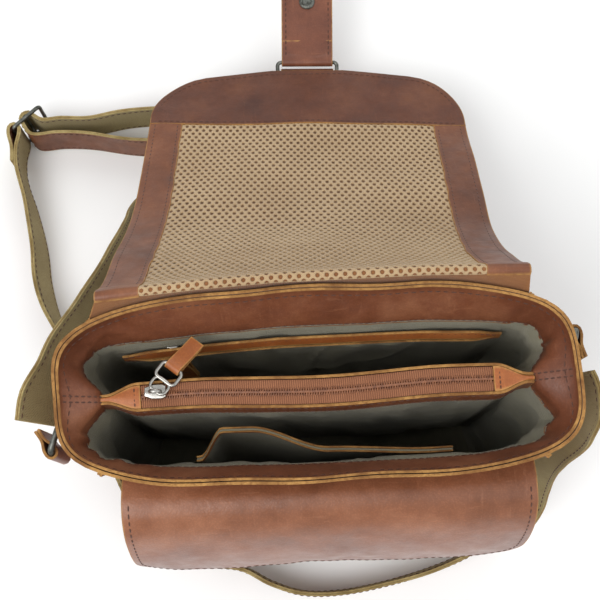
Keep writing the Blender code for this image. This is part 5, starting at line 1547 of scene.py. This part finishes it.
# ---- closure --------------------------------------------------------------------------------
def closure():
    """Strap on a wire loop at the end of the flap, with half a snap under it."""
    end = flap_point(0.0, FLAP_LENGTH, 0.0)
    slew = np.radians(FLAP_YAW)
    wide = np.array((math.cos(slew), math.sin(slew), 0.0))
    level = np.array((-math.sin(slew), math.cos(slew), 0.0))
    turn = math.radians(-22.0)
    out = level * math.cos(turn) + UP * math.sin(turn)
    up = UP * math.cos(turn) - level * math.sin(turn)
    bar = end + out * 5.0 - up * 3.6
    path = through(fold_path(bar, -out, wide, 2.5, 0.9, 22.0), 1.5)
    solid = ribbon(path, -0.65, 0.65, 40.0, skins=(0, 1, 0))
    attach(solid.put("closure_loop_tab", ("deep", "raw"), ("closure_tab",)), "flap_front")
    lift = math.radians(-22.0 + CLOSURE_LIFT)
    along = level * math.cos(lift) + UP * math.sin(lift)
    above = UP * math.cos(lift) - level * math.sin(lift)
    solid = wire_ring(Solid(), bar + along * 4.0, wide, along, 23.0, 4.0, 2.6, 1.5)
    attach(solid.put("closure_wire", ("nickel",), ("closure_ring",)), "closure_strap")
    second = bar + along * 8.0
    path = through(fold_path(second, along, wide, 2.5, 0.95, 17.0), 1.5)
    solid = ribbon(path, -0.65, 0.65, 2 * CLOSURE_HALF, skins=(0, 1, 0))
    s = edged(69.0, 2.2) * 69.0
    part = np.interp(s, (0.0, 52.0, 59.0, 63.5, 66.5, 69.0), (1.0, 1.0, 0.93, 0.78, 0.55, 0.3))
    share = (edged(2 * CLOSURE_HALF, 2.2) * 2.0 - 1.0)[None]
    grids = []
    for side in (1.0, -1.0):
        spine = second + along * (0.6 + s)[:, None]
        thick = np.interp(s, (0.0, 20.0), (2.5, 1.4))[:, None]
        wave = 0.3 * ripple(stack(s[:, None], share * 20.0, 0.0), 30.0, 111)
        grid = spine[:, None] + (share * part[:, None] * CLOSURE_HALF)[..., None] * wide
        crown = 0.35 * (1.0 - share ** 2)
        grids.append(grid + above * (side * (thick + crown) + wave)[..., None])
    sheet(*grids, skins=(0, 1, 0), into=solid, swell=0.3)
    run = np.linspace(4.0, 56.0, 30)
    arc = np.radians(np.linspace(180.0, 0.0, 14))
    for side in (1.0, -1.0):
        thick = (np.interp(run, (0.0, 20.0), (2.5, 1.4)) + 0.15)[:, None]
        for x in (-CLOSURE_HALF + 3.0, CLOSURE_HALF - 3.0):
            spot = second + along * (0.6 + run)[:, None] + above * side * thick + wide * x
            stitches(solid, spot, above * side, skin=2)
        spot = (second + along * (57.0 + 8.0 * np.sin(arc))[:, None]
                + np.outer((CLOSURE_HALF - 3.4) * np.cos(arc), wide) + above * side * 1.6)
        stitches(solid, spot, above * side, skin=2)
    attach(solid.put("closure_leather", ("leather", "raw", "thread"), ("closure_strap",)),
            "closure_strap")
    snap = second + along * 47.0
    profile = ((0.0, 6.3), (0.5, 6.5), (1.0, 6.2), (1.35, 5.2), (1.6, 3.6), (1.7, 1.4), (1.7, 0.2))
    solid = turned(snap - above * 1.75, -above, profile)
    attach(solid.put("closure_cap", ("nickel",), ("closure_snap_cap",)), "closure_strap")
    profile = ((0.0, 5.9), (0.9, 6.0), (1.6, 5.4), (1.9, 4.6), (1.6, 3.6), (0.7, 3.1), (0.7, 0.2))
    solid = turned(snap + above * 1.75, above, profile)
    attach(solid.put("closure_socket", ("nickel",), ("closure_snap_socket",)), "closure_strap")
    profile = ((-0.6, 4.6), (0.2, 4.7), (0.5, 4.2), (0.7, 2.6), (1.5, 2.3), (2.4, 2.7), (3.0, 2.4),
               (3.3, 1.4), (3.35, 0.2))
    solid = turned(np.array((0.0, float(pocket_y(-POCKET_X, 39.0)) - 0.2, 39.0)), (0, -1, 0), profile)
    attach(solid.put("pocket_snap_post", ("nickel",), ("closure_snap_post",)), "bag")


def turned(centre, axis, profile, sides=28):
    """A turned solid: profile lists heights along the axis and radii."""
    axis = unit(axis)
    first = unit(np.cross(axis, (1.0, 0.0, 0.0) if abs(axis[0]) < 0.9 else (0.0, 1.0, 0.0)))
    other = np.cross(axis, first)
    angle = np.arange(sides) * 2.0 * math.pi / sides
    spoke = np.cos(angle)[:, None] * first + np.sin(angle)[:, None] * other
    rings = np.array([np.asarray(centre) + axis * height + spoke * radius
                      for height, radius in profile])
    solid = Solid().add(rings, grid_faces(len(profile), sides, True), 0, grid_maps(rings, True))
    for ring in (rings[0], rings[-1]):
        solid.add(ring, [np.arange(sides)])
    return solid


# ---- shoulder strap -------------------------------------------------------------------------
RINGS = {
    "left": (np.array((-139.2, -14.0, RING_Z)), unit((-0.30, -0.95, 0.0)),
             unit((-0.55, 0.83, 0.02))),
    "right": (np.array((139.2, 12.0, RING_Z)), unit((0.30, 0.95, 0.0)),
              unit((0.25, -0.968, -0.03))),
}


def side_ring(side):
    """Leather tab on the gusset, the wire ring it holds and the strap end on the ring."""
    axis, reach, away = RINGS[side]
    sign = math.copysign(1.0, axis[0])
    run = -math.copysign(1.0, reach[1])
    near = float(wall_x(0.0, RING_Z + 14.0)) + 0.35 + 0.7
    outer, radius = near + 1.75, 2.75
    keys = [(sign * near, axis[1] + run * 24.0), (sign * near, axis[1] + run * 8.0)]
    for angle in (180.0, 215.0, 250.0, 285.0, 320.0, 360.0):
        turn = math.radians(angle)
        keys.append((axis[0] + sign * radius * math.cos(turn),
                     axis[1] + run * radius * math.sin(turn)))
    keys += [(sign * (outer + 0.5), axis[1] + run * 8.0), (sign * outer, axis[1] + run * 14.0),
             (sign * outer, axis[1] + run * 24.0)]
    path = through([(x, y, RING_Z, 0.0, 0.0, 1.0) for x, y in keys], 1.5)
    solid = ribbon(path, -0.7, 0.7, 27.0, skins=(0, 1, 0))
    y = np.linspace(axis[1] + run * 10.0, axis[1] + run * 22.0, 8)
    for z in (RING_Z - 10.5, RING_Z + 10.5):
        stitches(solid, stack(sign * (outer + 0.85), y, z), (sign, 0.0, 0.0), 3.4, 2.4, skin=2)
    for offset in (10.0, 22.0):
        z = np.linspace(RING_Z - 10.5, RING_Z + 10.5, 10)
        stitches(solid, stack(sign * (outer + 0.85), axis[1] + run * offset, z), (sign, 0.0, 0.0),
                 3.4, 2.4, skin=2)
    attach(solid.put("ring_holder_" + side, ("leather", "raw", "thread"), ("ring_tab_" + side,)),
            "bag")
    solid = wire_ring(Solid(), axis + reach * RING_REACH / 2, UP, reach, 18.8, RING_REACH / 2, 4.0,
                      1.75)
    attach(solid.put("strap_ring_" + side, ("nickel",), ("side_ring_" + side,)), "ring_" + side)
    path = through(fold_path(axis + reach * RING_REACH, away, UP, 2.9, 0.95, 15.0), 1.5)
    solid = ribbon(path, -0.75, 0.75, STRAP_WIDTH - 1.0, skins=(0, 1, 0))
    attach(solid.put("strap_loop_" + side, ("leather", "raw"), ("strap_end_" + side,)),
            "ring_" + side)


BUCKLE = np.array((-211.0, 251.0, STRAP_WIDTH / 2 + 3.2))
BUCKLE_ALONG = unit((0.75, 0.66, 0.0))
BUCKLE_OUT = unit((0.66, -0.75, 0.0))


def at_buckle(along, out):
    return BUCKLE + BUCKLE_ALONG * along + BUCKLE_OUT * out


def buckle():
    """Three-bar slide of round wire, standing on its edge."""
    half = STRAP_WIDTH / 2 + 1.1
    solid = wire_ring(Solid(), BUCKLE, UP, BUCKLE_ALONG, half, 13.0, 3.2, 1.5)
    z = np.linspace(-half, half, 14)[:, None]
    tube(BUCKLE + UP * z, 1.45, into=solid, side_way=BUCKLE_OUT)
    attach(solid.put("strap_slide", ("nickel",), ("strap_buckle",)), "bag")


def shoulder_strap(name, keys):
    """Leather and canvas layers sewn together along both edges; the first end follows a ring."""
    path = through(keys, 2.8)
    leather_side = ribbon(path, 0.05, STRAP_LAYER, STRAP_WIDTH, skins=(0, 1, 0), wave=0.25)
    canvas_side = ribbon(path, -STRAP_LAYER, -0.05, STRAP_WIDTH - 0.6, skins=(0, 1, 0), wave=0.25)
    threads = Solid()
    for level in (STRAP_LAYER, -STRAP_LAYER):
        for offset in (-STRAP_WIDTH / 2 + 2.6, STRAP_WIDTH / 2 - 2.6):
            line, way = ribbon_line(path, level * 0.98, offset)
            stitches(threads, line, way, 4.6)
    pieces = (leather_side.put(name + "_brown", ("dusky", "selvage"), (name + "_leather",)),
              canvas_side.put(name + "_webbing", ("khaki", "selvage"), (name + "_canvas",)),
              threads.put(name + "_stitches", ("thread",)))
    for piece in pieces:
        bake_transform(piece)


def short_strap():
    """From the left ring, back under the flap, through the slide; the tail runs back."""
    axis, reach, away = RINGS["left"]
    start = axis + reach * RING_REACH + away * 22.0
    ground, level = STRAP_WIDTH / 2 + 0.4, BUCKLE[2]
    up = (0.0, 0.0, 1.0)
    keys = [
        (*start, -0.45, -0.1, 0.88),
        (-155.0, 2.0, 203.0, -0.40, 0.05, 0.91),
        (-148.5, 18.0, 196.0, -0.38, 0.1, 0.91),
        (-143.0, 36.0, 184.0, -0.38, 0.1, 0.92),
        (-133.0, 61.0, 165.0, -0.38, 0.0, 0.92),
        (-121.0, 97.0, 136.0, -0.36, -0.1, 0.92),
        (-114.0, 130.0, 100.0, -0.32, -0.15, 0.93),
        (-112.0, 158.0, 60.0, -0.30, -0.2, 0.93),
        (-106.0, 182.0, 29.0, 0.0, -0.1, 1.0),
        (-90.0, 197.0, ground, *up),
        (-68.0, 201.0, ground, *up),
        (-53.0, 213.0, ground, *up),
        (-65.0, 226.0, ground, *up),
        (-92.0, 229.0, ground, *up),
        (-127.0, 230.5, ground, *up),
        (-163.0, 237.0, ground + 1.0, *up),
        (-188.0, 239.0, level - 1.5, *up),
        (*at_buckle(-6.0, 12.0)[:2], level, *up),
        (*at_buckle(-5.4, 2.0)[:2], level, *up),
        (*at_buckle(-4.2, -2.6)[:2], level, *up),
        (*at_buckle(0.0, -4.6)[:2], level, *up),
        (*at_buckle(4.2, -2.6)[:2], level, *up),
        (*at_buckle(5.4, 2.0)[:2], level, *up),
        (*at_buckle(7.5, 9.0)[:2], level, *up),
        (-185.0, 250.5, level - 1.0, *up),
        (-163.0, 250.0, ground + 1.0, *up),
        (-138.0, 254.5, ground, *up),
        (-112.0, 256.0, ground, *up),
        (-86.0, 255.0, ground, *up),
    ]
    shoulder_strap("strap_short", keys)


def long_strap():
    """From the right ring, down and across in front of the bag, back to the slide."""
    axis, reach, away = RINGS["right"]
    start = axis + reach * RING_REACH + away * 22.0
    ground = STRAP_WIDTH / 2 + 0.4
    up = (0.0, 0.0, 1.0)
    loop = fold_path(at_buckle(-13.0, 0.0), (0.02, -1.0, 0.0), up, 3.9, 1.6, 26.0)
    keys = [
        (*start, 0.05, 0.02, 1.0),
        (152.0, -1.0, 201.0, 0.06, -0.06, 1.0),
        (153.5, -10.0, 195.0, 0.15, -0.30, 0.94),
        (152.0, -17.0, 180.0, 0.24, -0.45, 0.86),
        (149.5, -22.0, 160.0, 0.34, -0.48, 0.80),
        (145.5, -27.0, 136.0, 0.30, -0.35, 0.88),
        (143.5, -32.0, 110.0, 0.34, -0.25, 0.90),
        (143.5, -38.0, 86.0, 0.38, -0.15, 0.91),
        (144.5, -46.0, 64.0, 0.38, -0.05, 0.92),
        (145.0, -57.0, 44.0, 0.34, 0.05, 0.93),
        (141.0, -68.5, 29.0, 0.28, 0.1, 0.95),
        (132.0, -78.5, 21.0, 0.16, 0.1, 0.98),
        (116.0, -88.0, ground + 0.5, 0.06, 0.05, 0.99),
        (92.0, -98.0, ground, *up),
        (56.0, -108.0, ground, *up),
        (15.0, -114.5, ground, *up),
        (-13.0, -113.5, ground, *up),
        (-34.0, -106.0, ground, *up),
        (-54.0, -95.5, ground, *up),
        (-82.0, -91.0, ground, *up),
        (-106.0, -83.0, ground, *up),
        (-122.0, -67.0, ground, *up),
        (-133.0, -46.0, ground, *up),
        (-143.0, -24.0, ground, *up),
        (-154.0, 6.0, ground, *up),
        (-166.0, 42.0, ground, *up),
        (-181.0, 74.0, ground, -0.08, 0.0, 0.99),
        (-194.0, 100.0, ground, -0.15, 0.0, 0.98),
        (-200.5, 124.0, ground, -0.17, 0.0, 0.98),
        (-203.5, 150.0, ground, -0.15, 0.0, 0.98),
        (-211.0, 185.0, ground, -0.06, 0.0, 0.99),
        (-217.0, 206.0, BUCKLE[2] - 1.5, *up),
    ]
    keys += [tuple(k) for k in reversed(loop)]
    shoulder_strap("strap_long", keys)


# ---- stage ----------------------------------------------------------------------------------
CAMERA = ((-0.013, -0.086, HEIGHT * MM + 0.520), 2.5, 76.0)   # place, turn to the right, look down
LENS = 60.84


def stage():
    """World, floor, three soft lamps and the camera."""
    scene = bpy.context.scene
    scene.view_settings.view_transform = "Standard"
    world = bpy.data.worlds.new("studio")
    world.use_nodes = True
    world.node_tree.nodes["Background"].inputs["Color"].default_value = (0.98, 0.99, 1.0, 1.0)
    world.node_tree.nodes["Background"].inputs["Strength"].default_value = 0.62
    scene.world = world
    mesh = bpy.data.meshes.new("floor")
    size = 6.0
    mesh.from_pydata([(-size, -size, 0), (size, -size, 0), (size, size, 0), (-size, size, 0)], [],
                     [(0, 1, 2, 3)])
    s = Shader("floor_paper")
    tint = s.ramp(s.noise(6.0, 2.0), ((0.3, tone(244, 244, 243)), (0.7, tone(248, 248, 247))))
    mesh.materials.append(s.finish(Base_Color=tint, Roughness=0.95, Specular_IOR_Level=0.1))
    floor = bpy.data.objects.new("floor", mesh)
    floor.location = (0.0, 0.0, -0.0006)
    scene.collection.objects.link(floor)
    lights = (("key", (-0.75, -0.65, 1.55), 1.1, 21.0), ("fill", (1.1, -0.5, 1.3), 1.4, 7.0),
              ("back", (0.3, 1.35, 1.4), 1.3, 8.0))
    for name, place, width, power in lights:
        lamp = bpy.data.lights.new(name, "AREA")
        lamp.size = width
        lamp.energy = power
        obj = bpy.data.objects.new(name, lamp)
        obj.location = place
        obj.rotation_euler = (Vector((0.0, 0.05, 0.15)) - Vector(place)).to_track_quat(
            "-Z", "Y").to_euler()
        scene.collection.objects.link(obj)
    place, turn, down = CAMERA
    turn, down = math.radians(turn), math.radians(down)
    look = Vector((math.sin(turn) * math.cos(down), math.cos(turn) * math.cos(down),
                   -math.sin(down)))
    data = bpy.data.cameras.new("camera")
    data.lens = LENS
    data.clip_start = 0.01
    camera = bpy.data.objects.new("camera", data)
    camera.location = place
    camera.rotation_euler = look.to_track_quat("-Z", "Y").to_euler()
    scene.collection.objects.link(camera)
    scene.camera = camera


def build():
    shell()
    corner_seams()
    facings()
    lining()
    divider_walls()
    divider_bands()
    divider_zip()
    divider_pull()
    back_pocket()
    back_pull()
    slip_pocket()
    pocket()
    pocket_flap()
    flap_fold()
    flap_leather()
    flap_borders()
    flap_mesh()
    closure()
    side_ring("left")
    side_ring("right")
    buckle()
    short_strap()
    long_strap()
    stage()


build()
